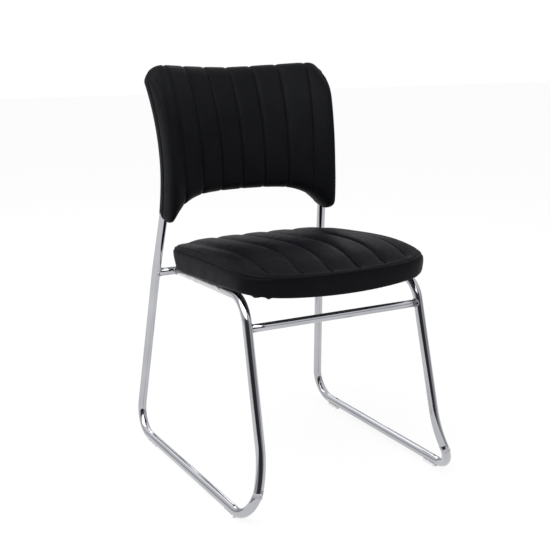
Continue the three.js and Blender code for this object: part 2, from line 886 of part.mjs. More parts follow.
// A curved slab of the back between two radii
function backSlab(columns, rows, sideInset, endInset, outerRadius, innerRadius) {
  const skin = new Skin();
  const places = Array.from({ length: rows + 1 }, (_, i) => (
    columns.map((column) => backPlace(column, i / rows, sideInset, endInset, backFaceCornerRadius))));
  const grids = [outerRadius, innerRadius].map((radius) => places.map((row) => (
    skin.add(row.map(({ x, angle }) => backPoint(x, angle, radius(x)))))));
  const [outer, inner] = grids;
  skin.sheet(outer);
  skin.sheet(inner.map((row) => [...row].reverse()));
  const border = (grid) => {
    const last = grid.length - 1;
    return [...grid[0].slice(0, -1), ...grid.slice(0, -1).map((row) => row[row.length - 1]),
      ...grid[last].slice(1).reverse(), ...grid.slice(1).map((row) => row[0]).reverse()];
  };
  skin.wall(border(outer), border(inner));
  return skin.geometry();
}

// Fixings: where each screw crosses its tube, the way it points and where the board starts
function seatFixings() {
  return sides.flatMap(([sideName, side]) => (
    [["rear", seatScrewRearSetback], ["front", seatScrewFrontSetback]].map(([place, setback]) => ({
      name: `seat_NAME_${place}_${sideName}`,
      side,
      centre: railAt(side, setback),
      way: seatUp,
      heading: railAt(side, 0).sub(railAt(side, setback)).normalize(),
      saddleEnd: tubeRadius + fitGap + seatSaddleThickness,
      boardStart: seatBoardBottom,
      boardThickness: seatBoardThickness,
    }))));
}

function backFixings() {
  return sides.flatMap(([sideName, side]) => (
    [["low", backScrewLowRise], ["high", backScrewHighRise]].map(([place, rise]) => {
      const height = backAxisHeight + rise;
      const { point, heading } = pointAtHeight(sideLine(side), height);
      const angle = Math.asin(rise / postBendRadius);
      const slope = 2 * backBoardSagitta * Math.abs(point.x) / backEdgeHalfSpan ** 2;
      const way = new THREE.Vector3(-side * slope, -Math.cos(angle), Math.sin(angle)).normalize();
      const depthAt = (distance) => {
        const probe = point.clone().addScaledVector(way, distance);
        const radius = Math.hypot(backAxisDepth - probe.y, probe.z - backAxisHeight);
        return radius - boardRearRadius(probe.x);
      };
      let near = 0;
      let far = 2 * tubeDiameter;
      for (let pass = 0; pass < 30; pass += 1) {
        const middle = (near + far) / 2;
        if (depthAt(middle) < 0) near = middle;
        else far = middle;
      }
      return {
        name: `back_NAME_${place}_${sideName}`,
        side,
        centre: point,
        way,
        heading,
        saddleEnd: near - fitGap - backBoardFlatness,
        boardStart: near,
        boardThickness: backBoardThickness * Math.cos(Math.atan(slope)),
      };
    })));
}

function along({ centre, way }, distance) {
  return centre.clone().addScaledVector(way, distance);
}

const screwHoleRadius = screwDiameter / 2 + screwHoleClearance / 2;

function tubeHoles(fixing) {
  return [
    rod(fixing.centre, along(fixing, tubeRadius + cutOverrun), screwHoleRadius, screwSides),
    rod(fixing.centre, along(fixing, -tubeRadius - cutOverrun), accessHoleDiameter / 2, screwSides),
  ];
}

function boardHoles(fixing) {
  const top = fixing.boardStart + fixing.boardThickness;
  return [
    rod(along(fixing, fixing.boardStart - cutOverrun), along(fixing, top + cutOverrun),
      nutBarrelDiameter / 2 + fitGap, screwSides),
    rod(along(fixing, top - nutFlangeThickness - fitGap), along(fixing, top + cutOverrun),
      nutFlangeDiameter / 2 + fitGap, screwSides),
  ];
}

function buildSaddle(fixing) {
  const start = tubeRadius - saddleDrop;
  const height = fixing.saddleEnd - start;
  const block = new THREE.BoxGeometry(saddleWidth, saddleLength, height);
  const across = new THREE.Vector3().crossVectors(fixing.heading, fixing.way).normalize();
  const lengthwise = new THREE.Vector3().crossVectors(fixing.way, across);
  const place = new THREE.Matrix4().makeBasis(across, lengthwise, fixing.way);
  block.applyMatrix4(place.setPosition(along(fixing, start + height / 2)));
  const reach = fixing.heading.clone().multiplyScalar(saddleLength);
  const tube = rod(fixing.centre.clone().sub(reach), fixing.centre.clone().add(reach),
    tubeRadius + fitGap, 2 * tubeSides);
  const hole = rod(fixing.centre, along(fixing, fixing.saddleEnd + cutOverrun), screwHoleRadius, screwSides);
  return cutFrom(block, [tube, hole]);
}

function buildScrew(fixing) {
  const end = fixing.boardStart + fixing.boardThickness - nutFlangeThickness;
  const headBottom = screwHeadSeat - screwHeadHeight;
  return turned([
    [0, headBottom], [screwHeadDiameter / 2, headBottom], [screwHeadDiameter / 2, screwHeadSeat],
    [screwDiameter / 2, screwHeadSeat], [screwDiameter / 2, end], [0, end],
  ], fixing.centre, fixing.way, screwSides);
}

function buildNut(fixing) {
  const top = fixing.boardStart + fixing.boardThickness - fitGap;
  const bore = screwDiameter / 2 + nutBoreClearance;
  const shoulder = top - nutFlangeThickness;
  const bottom = Math.max(shoulder - nutBarrelLength, fixing.boardStart + fitGap);
  return turned([
    [bore, bottom], [nutBarrelDiameter / 2, bottom], [nutBarrelDiameter / 2, shoulder],
    [nutFlangeDiameter / 2, shoulder], [nutFlangeDiameter / 2, top], [bore, top], [bore, bottom],
  ], fixing.centre, fixing.way, screwSides);
}

// Side frames
const fixings = [...seatFixings(), ...backFixings()];
const rearBarEnd = (side) => new THREE.Vector3(side * legTopHalfSpan, -legTopSetback, railRearHeight);
const glidePlaces = [["front", -runnerLength + glideFrontSetback], ["rear", -glideRearSetback]];
const ventPlaces = [-runnerLength + ventFrontSetback, -ventRearSetback];
const pegRadius = glidePegDiameter / 2;

for (const [sideName, side] of sides) {
  const floorX = side * runnerHalfSpan;
  const rearBar = rod(rearBarEnd(side).multiply(new THREE.Vector3(1 / 2, 1, 1)),
    new THREE.Vector3(side * (railRearHalfSpan + tubeDiameter), -legTopSetback, railRearHeight),
    tubeRadius + fitGap, 2 * tubeSides);
  const vents = ventPlaces.map((y) => rod(new THREE.Vector3(floorX, y, runnerHeight),
    new THREE.Vector3(floorX, y, runnerHeight + tubeRadius + cutOverrun), ventDiameter / 2, screwSides));
  const pegHoles = glidePlaces.map(([, y]) => rod(new THREE.Vector3(floorX, y, 0),
    new THREE.Vector3(floorX, y, runnerHeight), pegRadius + fitGap, screwSides));
  const holes = fixings.filter((fixing) => fixing.side === side).flatMap(tubeHoles);
  const tube = sweep(sideLine(side), tubeRadius, boreRadius);
  addMesh(`side_frame_${sideName}`, cutFrom(tube, [rearBar, ...vents, ...pegHoles, ...holes]), chrome);

  const { point, tangent } = sideLine(side).stations[0];
  addMesh(`post_plug_${sideName}`, turned([
    [0, -plugCapThickness], [tubeRadius, -plugCapThickness], [tubeRadius, -fitGap],
    [plugStemDiameter / 2, -fitGap], [plugStemDiameter / 2, plugStemLength], [0, plugStemLength],
  ], point, tangent, tubeSides), blackPlastic);
}

// Crossbars, with their ends cut to fit round the tubes they meet
function barBetween(meeting, radius, cutters) {
  const end = meeting.clone().sub(new THREE.Vector3(barEndSetback, 0, 0));
  const start = end.clone().multiply(new THREE.Vector3(-1, 1, 1));
  const bore = rod(start, end, radius - tubeWall, boreSides);
  return cutFrom(rod(start, end, radius, tubeSides), [bore, ...cutters]);
}

const postCutters = sides.map(([, side]) => sweep(
  new BentLine([postBend(side), legTop(side), rearFloorCorner(side)], [rearLegKinkRadius]),
  tubeRadius + fitGap, 0));
addMesh("rear_crossbar", barBetween(rearBarEnd(1), tubeRadius, postCutters), chrome);

const barShare = 1 - frontBarDrop / (legFrontTopHeight - flareHeight);
const legCutters = sides.map(([, side]) => rod(flarePoint(side), legFrontTop(side),
  tubeRadius + fitGap, 2 * tubeSides));
addMesh("front_crossbar", barBetween(flarePoint(1).lerp(legFrontTop(1), barShare),
  frontBarDiameter / 2, legCutters), chrome);

// Glides: a block cupped under the runner, with a peg into the tube
function buildGlide(x, y) {
  const halfWidth = glideWidth / 2;
  const halfLength = glideLength / 2;
  const outline = new THREE.Shape();
  [[1, 1], [-1, 1], [-1, -1], [1, -1]].forEach(([across, ahead], quarter) => {
    outline.absarc(across * (halfWidth - glideCornerRadius), ahead * (halfLength - glideCornerRadius),
      glideCornerRadius, quarter * Math.PI / 2, (quarter + 1) * Math.PI / 2);
  });
  const block = new THREE.ExtrudeGeometry(outline,
    { depth: glideWrapHeight, bevelEnabled: false, curveSegments: 3 });
  block.translate(x, y, 0);
  const runner = rod(new THREE.Vector3(x, y - glideLength, runnerHeight),
    new THREE.Vector3(x, y + glideLength, runnerHeight), tubeRadius + fitGap, 2 * tubeSides);
  const peg = rod(new THREE.Vector3(x, y, glideFloorThickness / 2),
    new THREE.Vector3(x, y, glideFloorThickness + glidePegHeight), pegRadius, screwSides);
  return joined([cutFrom(block, [runner]), peg]);
}

for (const [sideName, side] of sides) {
  for (const [place, y] of glidePlaces) {
    addMesh(`glide_${place}_${sideName}`, buildGlide(side * runnerHalfSpan, y), glidePlastic);
  }
}

// Seat
const seatHoles = seatFixings().flatMap(boardHoles);
const dustHoles = seatFixings().map((fixing) => rod(fixing.centre,
  along(fixing, seatBoardTop), screwHoleRadius, screwSides));
addMesh("seat_cover", buildSeatCover(), leather);
addMesh("seat_foam", buildSeatFoam(), foamFinish);
addMesh("seat_board", cutFrom(seatSlab(seatBoardInset, seatBoardBottom, seatBoardThickness),
  seatHoles), plywood);
addMesh("seat_dust_cover", cutFrom(seatSlab(seatFlangeWidth + dustCoverMargin, dustCoverBottom,
  dustCoverThickness), dustHoles), dustCloth);

// Back
const backHoles = backFixings().flatMap(boardHoles);
const postHoles = sides.map(([, side]) => sweep(sideLine(side), tubeRadius + fitGap, 0));
addMesh("back_cover_front", cutFrom(buildBackFront(), postHoles), leather);
addMesh("back_cover_rear", cutFrom(buildBackRear(), postHoles), leather);
addMesh("back_foam", backSlab(spreadColumns(14), backSlabRows, backFoamInset, backFoamInset,
  (x) => frontRadius(x) - backFoamDepth, (x) => boardFrontRadius(x) + softClearance), foamFinish);
addMesh("back_board", cutFrom(backSlab(spreadColumns(14), backSlabRows, backBoardInset, backBoardInset,
  boardFrontRadius, boardRearRadius), backHoles), plywood);
const padColumns = spreadColumns(10).map(({ x }) => fixedColumn(x * backPadHalfWidth / backSeamHalfSpan));
addMesh("back_pad", backSlab(padColumns, backSlabRows, 0, backPadInset,
  (x) => boardRearRadius(x) - softClearance, (x) => rearRadius(x) + backPadClearance), foamFinish);

// Screws, nuts and saddles
for (const fixing of fixings) {
  const named = (piece) => fixing.name.replace("NAME", piece);
  addMesh(named("saddle"), buildSaddle(fixing), blackPlastic);
  addMesh(named("screw"), buildScrew(fixing), zincSteel);
  addMesh(named("nut"), buildNut(fixing), zincSteel);
}

// The frame's origin lies on the floor under the middle of the chair
const bounds = new THREE.Box3().setFromObject(chair);
const middle = (bounds.min.y + bounds.max.y) / 2;
chair.children.forEach((mesh) => mesh.geometry.translate(0, -middle, 0));

export default chair;
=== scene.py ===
"""Dresses the sled base visitor chair: leather, stitching, smooth chromed tubes, light and camera."""
import json
import math
from collections import namedtuple

import bpy
import numpy as np
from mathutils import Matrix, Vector


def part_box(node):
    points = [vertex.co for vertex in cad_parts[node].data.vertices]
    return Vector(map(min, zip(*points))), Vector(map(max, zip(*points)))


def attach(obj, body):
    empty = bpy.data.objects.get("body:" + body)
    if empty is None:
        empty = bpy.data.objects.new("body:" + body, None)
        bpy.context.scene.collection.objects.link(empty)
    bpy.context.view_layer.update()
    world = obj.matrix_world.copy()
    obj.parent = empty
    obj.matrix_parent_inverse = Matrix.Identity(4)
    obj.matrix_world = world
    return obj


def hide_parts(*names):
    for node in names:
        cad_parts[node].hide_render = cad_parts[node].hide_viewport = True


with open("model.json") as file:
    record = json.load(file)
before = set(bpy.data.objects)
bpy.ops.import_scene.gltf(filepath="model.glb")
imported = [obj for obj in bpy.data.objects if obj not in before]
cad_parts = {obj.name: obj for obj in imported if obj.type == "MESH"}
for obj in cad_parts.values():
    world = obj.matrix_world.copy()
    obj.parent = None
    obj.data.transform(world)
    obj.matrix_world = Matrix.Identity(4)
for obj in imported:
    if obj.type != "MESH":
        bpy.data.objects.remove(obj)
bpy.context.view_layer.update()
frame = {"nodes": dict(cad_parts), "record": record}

MM = 0.001

# The frame, in millimetres: x across, y from the rear floor bend and negative forward, z up
TUBE_RADIUS = 9.5
TUBE_WALL = 1.5
FRONT_BAR_RADIUS = 8
TUBE_SIDES, ROD_SIDES = 48, 32
BEND_STEP, LEAST_BEND_STEPS = math.radians(2.5), 4
GLIDE_FLOOR = 3
RUNNER_HALF_SPAN = 240.6
RUNNER_LENGTH = 555
LEG_TOP = (211.2, -52, 386)
RAIL_REAR_HALF_SPAN = 160
POST_LEAN = 0.195
POST_INWARD_LEAN = 0.087
POST_BEND_RISE = 250
POST_BEND_RADIUS = 411
POST_TOP_STRAIGHT = 5.3
POST_TOP_LEAN = 0.4
REAR_KINK_RADIUS = 420
REAR_FLOOR_RADIUS = 55
FRONT_FLOOR_RADIUS = 52
FLARE = (204, -531.9, 100)
FLARE_RADIUS = 264
LEG_FRONT_TOP = (196.7, -448.2, 417)
FRONT_TOP_RADIUS = 60
FRONT_BAR_DROP = 56
VENT_RADIUS = 2.5
VENT_SETBACKS = (-RUNNER_LENGTH + 72, -95)
GLIDE_FRONT_SETBACK = 83
ACCESS_RADIUS = 6.5
SCREW_HOLE_RADIUS = 3.3
BAR_SHORTFALL, BAR_STEPS = 5, 12
RUNNER_HEIGHT = GLIDE_FLOOR + TUBE_RADIUS

# The chair's depth zero, moved to the middle of the frame's footprint
glide_low, glide_high = (np.array(corner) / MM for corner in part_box("glide_front_left"))
SHIFT = np.array([0, (glide_low[1] + glide_high[1]) / 2 + RUNNER_LENGTH - GLIDE_FRONT_SETBACK, 0])


def vec(*values):
    return np.array(values, dtype=float)


ACROSS = vec(1, 0, 0)
SIDES = (("left", -1), ("right", 1))


def unit(v):
    return v / np.linalg.norm(v)


def mix(a, b, t):
    return a + (b - a) * t


def clamp(t):
    return np.clip(t, 0, 1)


def groove(distance, depth, width):
    """Depth at a distance from the middle of a rounded groove."""
    return depth * np.exp(-(distance / width) ** 2)


# Meshes and objects
def add_object(name, data):
    obj = bpy.data.objects.new(name, data)
    bpy.context.scene.collection.objects.link(obj)
    return obj


def add_mesh(name, points, faces, material):
    """Adds a smoothly shaded piece of the chair's one body, from points in millimetres."""
    mesh = bpy.data.meshes.new(name)
    mesh.from_pydata(((np.asarray(points) + SHIFT) * MM).tolist(), [], faces)
    mesh.validate()
    mesh.polygons.foreach_set("use_smooth", [True] * len(mesh.polygons))
    mesh.materials.append(material)
    obj = add_object(name, mesh)
    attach(obj, "root")
    return obj


def feed(tree, shader, inputs):
    """Links each of a shader's inputs to its source, or sets it where a number is given."""
    for name, source in inputs.items():
        if isinstance(source, (int, float)):
            shader.inputs[name].default_value = source
        else:
            tree.links.new(source, shader.inputs[name])


def node_material(name):
    """A new material with its tree, its shader and the object's coordinates."""
    material = bpy.data.materials.new(name)
    material.use_nodes = True
    tree = material.node_tree
    place = add_node(tree, "ShaderNodeTexCoord").outputs["Object"]
    return material, tree, tree.nodes["Principled BSDF"], place


def add_node(tree, kind, **settings):
    """Makes a node. Each setting is the value of the input of that name, or else a property."""
    node = tree.nodes.new(kind)
    for key, value in settings.items():
        if key in node.inputs.keys():
            node.inputs[key].default_value = value
        else:
            setattr(node, key, value)
    return node


def ramp(tree, source, stops):
    """Colours a value. Each stop is a place from 0 to 1 with a grey level or a colour."""
    node = add_node(tree, "ShaderNodeValToRGB")
    elements = node.color_ramp.elements
    while len(elements) < len(stops):
        elements.new(0.5)
    for element, (place, level) in zip(elements, stops):
        element.position = place
        element.color = (*level, 1) if isinstance(level, tuple) else (level, level, level, 1)
    tree.links.new(source, node.inputs["Fac"])
    return node.outputs["Color"]


VORONOI = "ShaderNodeTexVoronoi"


def node_at(tree, place, kind, **settings):
    """Makes a node that reads the given coordinates."""
    node = add_node(tree, kind, **settings)
    tree.links.new(place, node.inputs["Vector"])
    return node


def noise(tree, place, scale, detail, roughness=0.5):
    settings = {"Scale": scale, "Detail": detail, "Roughness": roughness}
    return node_at(tree, place, "ShaderNodeTexNoise", **settings).outputs["Fac"]


def bump(tree, height, strength, distance, normal=None):
    node = add_node(tree, "ShaderNodeBump", Strength=strength, Distance=distance)
    tree.links.new(height, node.inputs["Height"])
    if normal is not None:
        tree.links.new(normal, node.inputs["Normal"])
    return node.outputs["Normal"]


def make_leather(name, dark, light, roughness, specular):
    material, tree, shader, place = node_material(name)
    pebbles = node_at(tree, place, VORONOI, feature="SMOOTH_F1", Scale=950, Smoothness=0.35)
    creases = node_at(tree, place, VORONOI, feature="DISTANCE_TO_EDGE", Scale=420)
    crease_depth = ramp(tree, creases.outputs["Distance"], [(0, 0.0), (0.12, 1.0)])
    fine = bump(tree, pebbles.outputs["Distance"], strength=0.22, distance=0.00025)
    grain = bump(tree, crease_depth, strength=0.16, distance=0.00025, normal=fine)
    waves = noise(tree, place, scale=26, detail=2)
    soft = bump(tree, waves, strength=0.12, distance=0.004, normal=grain)
    clouds = noise(tree, place, scale=14, detail=4, roughness=0.6)
    tone = ramp(tree, clouds, [(0.3, dark), (0.7, light)])
    wear = noise(tree, place, scale=60, detail=4, roughness=0.6)
    gloss = ramp(tree, wear, [(0.3, roughness - 0.05), (0.7, roughness + 0.05)])
    feed(tree, shader, {"Normal": soft, "Base Color": tone, "Roughness": gloss,
                        "Specular IOR Level": specular})
    return material


def make_metal(name, dark, light, roughness, spread, grain_scale, bump_strength):
    material, tree, shader, place = node_material(name)
    tone = ramp(tree, noise(tree, place, scale=9, detail=3), [(0.3, dark), (0.7, light)])
    grain = noise(tree, place, scale=grain_scale, detail=5, roughness=0.65)
    gloss = ramp(tree, grain, [(0.35, roughness), (0.75, roughness + spread)])
    waves = noise(tree, place, scale=grain_scale / 3, detail=2)
    wave = bump(tree, waves, strength=bump_strength, distance=0.0006)
    feed(tree, shader, {"Normal": wave, "Base Color": tone, "Roughness": gloss, "Metallic": 1})
    return material


def make_plastic(name, dark, light, roughness):
    material, tree, shader, place = node_material(name)
    tone = ramp(tree, noise(tree, place, scale=120, detail=4), [(0.3, dark), (0.7, light)])
    wear = noise(tree, place, scale=300, detail=3)
    gloss = ramp(tree, wear, [(0.3, roughness - 0.06), (0.7, roughness + 0.08)])
    spark = bump(tree, noise(tree, place, scale=1400, detail=2), strength=0.12, distance=0.0002)
    feed(tree, shader, {"Normal": spark, "Base Color": tone, "Roughness": gloss})
    return material


def make_wood(name):
    material, tree, shader, place = node_material(name)
    along = node_at(tree, place, "ShaderNodeMapping", Scale=(1, 0.08, 8)).outputs["Vector"]
    rings = node_at(tree, along, "ShaderNodeTexWave", Scale=34, Distortion=5, Detail=4)
    tone = ramp(tree, rings.outputs["Fac"],
                [(0.1, (0.36, 0.22, 0.11)), (0.6, (0.52, 0.35, 0.19)), (1, (0.6, 0.43, 0.25))])
    grooves = bump(tree, rings.outputs["Fac"], strength=0.2, distance=0.0004)
    feed(tree, shader, {"Normal": grooves, "Base Color": tone, "Roughness": 0.62})
    return material


def make_cloth(name, dark, light, sheen):
    material, tree, shader, place = node_material(name)
    fibres = node_at(tree, place, "ShaderNodeTexNoise", Scale=700, Detail=6, Roughness=0.8,
                     Distortion=1.5)
    dots = node_at(tree, place, VORONOI, Scale=380, Randomness=0.15)
    tone = ramp(tree, fibres.outputs["Fac"], [(0.35, dark), (0.7, light)])
    embossed = bump(tree, dots.outputs["Distance"], strength=0.5, distance=0.0006)
    fuzz = bump(tree, fibres.outputs["Fac"], strength=0.5, distance=0.0004, normal=embossed)
    feed(tree, shader, {"Normal": fuzz, "Base Color": tone, "Roughness": 0.9, "Sheen Weight": sheen})
    return material


def make_foam(name):
    material, tree, shader, place = node_material(name)
    cells = node_at(tree, place, VORONOI, Scale=900)
    tone = ramp(tree, cells.outputs["Distance"], [(0.1, (0.42, 0.36, 0.22)), (0.6, (0.68, 0.6, 0.42))])
    pits = bump(tree, cells.outputs["Distance"], strength=0.6, distance=0.0006)
    feed(tree, shader, {"Normal": pits, "Base Color": tone, "Roughness": 0.95})
    return material


# Each with its darkest and lightest colour
leather = make_leather("black_leather", (0.0021, 0.0022, 0.0035), (0.0031, 0.0032, 0.005),
                       roughness=0.5, specular=0.06)
# The back's cover is the seat's leather with a lighter base colour: painted light that makes up for the
# lamps lighting the back less than the seat
back_leather_painted_light = make_leather("back_leather_painted_light", (0.0036, 0.0038, 0.005), (0.0052, 0.0055, 0.0072),
                            roughness=0.55, specular=0.065)
thread = make_cloth("thread", (0.0015, 0.0015, 0.0018), (0.003, 0.003, 0.0036), sheen=0)
chrome = make_metal("chrome_plate", (0.42, 0.425, 0.445), (0.5, 0.505, 0.53),
                    roughness=0.05, spread=0.04, grain_scale=45, bump_strength=0.003)
weld_chrome = make_metal("weld_chrome", (0.34, 0.34, 0.36), (0.44, 0.44, 0.46),
                         roughness=0.14, spread=0.2, grain_scale=420, bump_strength=0.3)
zinc = make_metal("zinc_plate", (0.5, 0.5, 0.5), (0.62, 0.62, 0.63),
                  roughness=0.3, spread=0.2, grain_scale=220, bump_strength=0.1)
pale_nylon = make_plastic("pale_nylon", (0.84, 0.85, 0.84), (0.9, 0.9, 0.89), roughness=0.42)
black_nylon = make_plastic("black_nylon", (0.012, 0.012, 0.014), (0.022, 0.022, 0.024),
                           roughness=0.5)
plywood = make_wood("plywood_face")
dust_cloth = make_cloth("dust_cloth", (0.012, 0.012, 0.013), (0.03, 0.03, 0.032), sheen=0.15)
foam = make_foam("foam_cells")

SLOT_MATERIALS = {
    "chromed_tube": chrome, "cover_leather": leather, "cushion_foam": foam, "plywood": plywood,
    "dust_cloth": dust_cloth, "glide_plastic": pale_nylon, "black_plastic": black_nylon,
    "zinc_steel": zinc,
}
for part in frame["record"]["subparts"]:
    for slot in frame["nodes"][part["node"]].material_slots:
        slot.material = SLOT_MATERIALS[part["material_slot"]]


# A direction that no tube starts in
TUBE_SKEW = vec(0.3, 1, 0.2)


# Bent tubes
def bend(previous, corner, following, radius):
    """The arc that rounds a corner: its first direction, the way to its centre, turn and centre."""
    before = unit(corner - previous)
    after = unit(following - corner)
    turn = math.acos(np.clip(before @ after, -1, 1))
    inward = unit(after - before * math.cos(turn))
    centre = corner - before * radius * math.tan(turn / 2) + inward * radius
    return before, inward, turn, centre


def bent_line(corners, radii):
    """Points along straight runs joined by arcs, and the direction at each."""
    points = [corners[0]]
    tangents = [unit(corners[1] - corners[0])]
    for i, radius in enumerate(radii, start=1):
        before, inward, turn, centre = bend(corners[i - 1], corners[i], corners[i + 1], radius)
        steps = max(LEAST_BEND_STEPS, math.ceil(turn / BEND_STEP))
        for k in range(steps + 1):
            angle = turn * k / steps
            points.append(centre - inward * radius * math.cos(angle)
                          + before * radius * math.sin(angle))
            tangents.append(before * math.cos(angle) + inward * math.sin(angle))
    points.append(corners[-1])
    tangents.append(unit(corners[-1] - corners[-2]))
    return np.array(points), np.array(tangents)


def circle(across, up, sides):
    """Points of a unit circle in the plane of two directions."""
    angles = np.arange(sides) * 2 * math.pi / sides
    return np.outer(np.cos(angles), across) + np.outer(np.sin(angles), up)


def tube_rings(points, tangents, radius, sides):
    normal = unit(np.cross(tangents[0], TUBE_SKEW))
    rings = []
    for point, tangent in zip(points, tangents):
        normal = unit(normal - tangent * (normal @ tangent))
        rings.append(point + radius * circle(normal, np.cross(tangent, normal), sides))
    return rings


def ring_faces(first, second, count):
    return [(first + k, first + (k + 1) % count, second + (k + 1) % count, second + k)
            for k in range(count)]


def tube_solid(points, tangents, outer, inner, sides=TUBE_SIDES):
    outer_rings = tube_rings(points, tangents, outer, sides)
    inner_rings = tube_rings(points, tangents, inner, sides)
    total = len(points)
    vertices = np.concatenate(outer_rings + inner_rings)
    faces = []
    for i in range(total - 1):
        faces += ring_faces(i * sides, (i + 1) * sides, sides)
        low, high = (total + i) * sides, (total + i + 1) * sides
        faces += [tuple(reversed(face)) for face in ring_faces(low, high, sides)]
    faces += [tuple(reversed(face)) for face in ring_faces(0, total * sides, sides)]
    faces += ring_faces((total - 1) * sides, (2 * total - 1) * sides, sides)
    return vertices, faces


def rod_mesh(start, end, radius, sides=ROD_SIDES):
    direction = unit(end - start)
    rings = tube_rings([start, end], [direction, direction], radius, sides)
    faces = ring_faces(0, sides, sides)
    faces.append(tuple(reversed(range(sides))))
    faces.append(tuple(range(sides, 2 * sides)))
    return np.concatenate(rings), faces


def on_side(side, place):
    return vec(side * place[0], *place[1:])


def post_corners(side):
    """The post's top, the corner of its bend and the leg's top."""
    leg_top = on_side(side, LEG_TOP)
    post_bend = leg_top + vec(-side * POST_INWARD_LEAN, -POST_LEAN, 1) * POST_BEND_RISE
    heading = unit(vec(-side * POST_INWARD_LEAN, POST_TOP_LEAN, 1))
    turn = math.acos(heading @ unit(post_bend - leg_top))
    run = POST_BEND_RADIUS * math.tan(turn / 2) + POST_TOP_STRAIGHT
    return post_bend + heading * run, post_bend, leg_top


def side_corners(side):
    """Corners of a side frame's centre line, from the post's top round to the rail's rear end."""
    return [
        *post_corners(side),
        vec(side * RUNNER_HALF_SPAN, 0, RUNNER_HEIGHT),
        vec(side * RUNNER_HALF_SPAN, -RUNNER_LENGTH, RUNNER_HEIGHT),
        on_side(side, FLARE),
        on_side(side, LEG_FRONT_TOP),
        vec(side * RAIL_REAR_HALF_SPAN, *LEG_TOP[1:]),
    ]


SIDE_RADII = (POST_BEND_RADIUS, REAR_KINK_RADIUS, REAR_FLOOR_RADIUS, FRONT_FLOOR_RADIUS,
              FLARE_RADIUS, FRONT_TOP_RADIUS)


def cut(obj, cutters):
    """Takes the cutters' volumes out of the object and removes the cutters."""
    for points, faces in cutters:
        mesh = bpy.data.meshes.new("cutter")
        mesh.from_pydata(((points + SHIFT) * MM).tolist(), [], faces)
        cutter = add_object("cutter", mesh)
        modifier = obj.modifiers.new("cut", "BOOLEAN")
        modifier.operation = "DIFFERENCE"
        modifier.solver = "EXACT"
        modifier.object = cutter
        bpy.context.view_layer.objects.active = obj
        bpy.ops.object.modifier_apply(modifier=modifier.name)
        bpy.data.objects.remove(cutter, do_unlink=True)


# The rails' plane and the back's arc
rail_pitch = math.atan2(LEG_FRONT_TOP[2] - LEG_TOP[2], LEG_TOP[1] - LEG_FRONT_TOP[1])
rail_length = math.hypot(LEG_FRONT_TOP[2] - LEG_TOP[2], LEG_TOP[1] - LEG_FRONT_TOP[1])
seat_up = vec(0, math.sin(rail_pitch), math.cos(rail_pitch))


def seat_points(x, y, z):
    """Points given across, along and above the plane of the rails, whose zero is at the leg's top."""
    x, y, z = np.broadcast_arrays(x, y, z)
    return np.stack([x,
                     LEG_TOP[1] + y * math.cos(rail_pitch) + z * math.sin(rail_pitch),
                     LEG_TOP[2] - y * math.sin(rail_pitch) + z * math.cos(rail_pitch)], axis=-1)


def rail_at(side, setback):
    span = mix(RAIL_REAR_HALF_SPAN, LEG_FRONT_TOP[0], setback / rail_length)
    return seat_points(side * span, -setback, 0)


# The back's axis, a little behind and below that of the posts' bends
AXIS_SHIFT, AXIS_DROP = 2.2, 3.1
post_arc = bend(*post_corners(1), POST_BEND_RADIUS)[3]
AXIS_DEPTH = post_arc[1] - AXIS_SHIFT
AXIS_HEIGHT = post_arc[2] - AXIS_DROP

# Where the seat's screws pass through the rails
SEAT_SCREWS = (105, 290)


def drill(side):
    """Cutters for one side frame's vents and for the screw holes in its rail."""
    cutters = []
    for y in VENT_SETBACKS:
        top = vec(side * RUNNER_HALF_SPAN, y, RUNNER_HEIGHT)
        cutters.append(rod_mesh(top, top + vec(0, 0, 2 * TUBE_RADIUS), VENT_RADIUS))
    for setback in SEAT_SCREWS:
        centre, beyond = rail_at(side, setback), seat_up * 2 * TUBE_RADIUS
        cutters.append(rod_mesh(centre - beyond, centre, ACCESS_RADIUS))
        cutters.append(rod_mesh(centre, centre + beyond, SCREW_HOLE_RADIUS))
    return cutters


for side_name, side in SIDES:
    line = bent_line(side_corners(side), SIDE_RADII)
    vertices, faces = tube_solid(*line, TUBE_RADIUS, TUBE_RADIUS - TUBE_WALL)
    tube = add_mesh(f"tube_{side_name}", vertices, faces, chrome)
    cut(tube, drill(side))
    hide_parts(f"side_frame_{side_name}")

bar_share = 1 - FRONT_BAR_DROP / (LEG_FRONT_TOP[2] - FLARE[2])
front_bar_end = mix(vec(*FLARE), vec(*LEG_FRONT_TOP), bar_share)
for name, end, radius in (("rear_bar", vec(*LEG_TOP), TUBE_RADIUS),
                          ("front_bar", front_bar_end, FRONT_BAR_RADIUS)):
    inner_end = end - ACROSS * BAR_SHORTFALL
    points = [mix(on_side(-1, inner_end), inner_end, k / BAR_STEPS) for k in range(BAR_STEPS + 1)]
    vertices, faces = tube_solid(np.array(points), np.array([ACROSS] * len(points)),
                                 radius, radius - TUBE_WALL)
    bar = add_mesh(name, vertices, faces, chrome)
    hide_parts("rear_crossbar" if name == "rear_bar" else "front_crossbar")

# Weld beads where one tube meets another
WELD_STEPS, BEAD_SIDES = 72, 10
WELD_RADIUS, FRONT_WELD_RADIUS = 1.5, 1.3
RIPPLE, RIPPLE_TURNS, SMALL_RIPPLE, SMALL_RIPPLE_ANGLE = 0.14, 3 / 8, 0.08, 1.7
WELD_SKEW = vec(0.2, 0.3, 1)


def junction(foot, direction, radius, other_direction, other_radius, count=WELD_STEPS):
    """The line round a tube where it leaves another tube, with foot on both centre lines."""
    start = unit(np.cross(direction, WELD_SKEW))
    side_way = np.cross(direction, start)
    points = []
    for k in range(count):
        angle = 2 * math.pi * k / count
        rim = foot + radius * (start * math.cos(angle) + side_way * math.sin(angle))
        gap = rim - foot
        gap = gap - other_direction * (gap @ other_direction)
        run = direction - other_direction * (direction @ other_direction)
        a, b, c = run @ run, gap @ run, gap @ gap - other_radius ** 2
        root = (-b + math.sqrt(max(0, b * b - a * c))) / a
        points.append(rim + direction * root)
    return np.array(points)


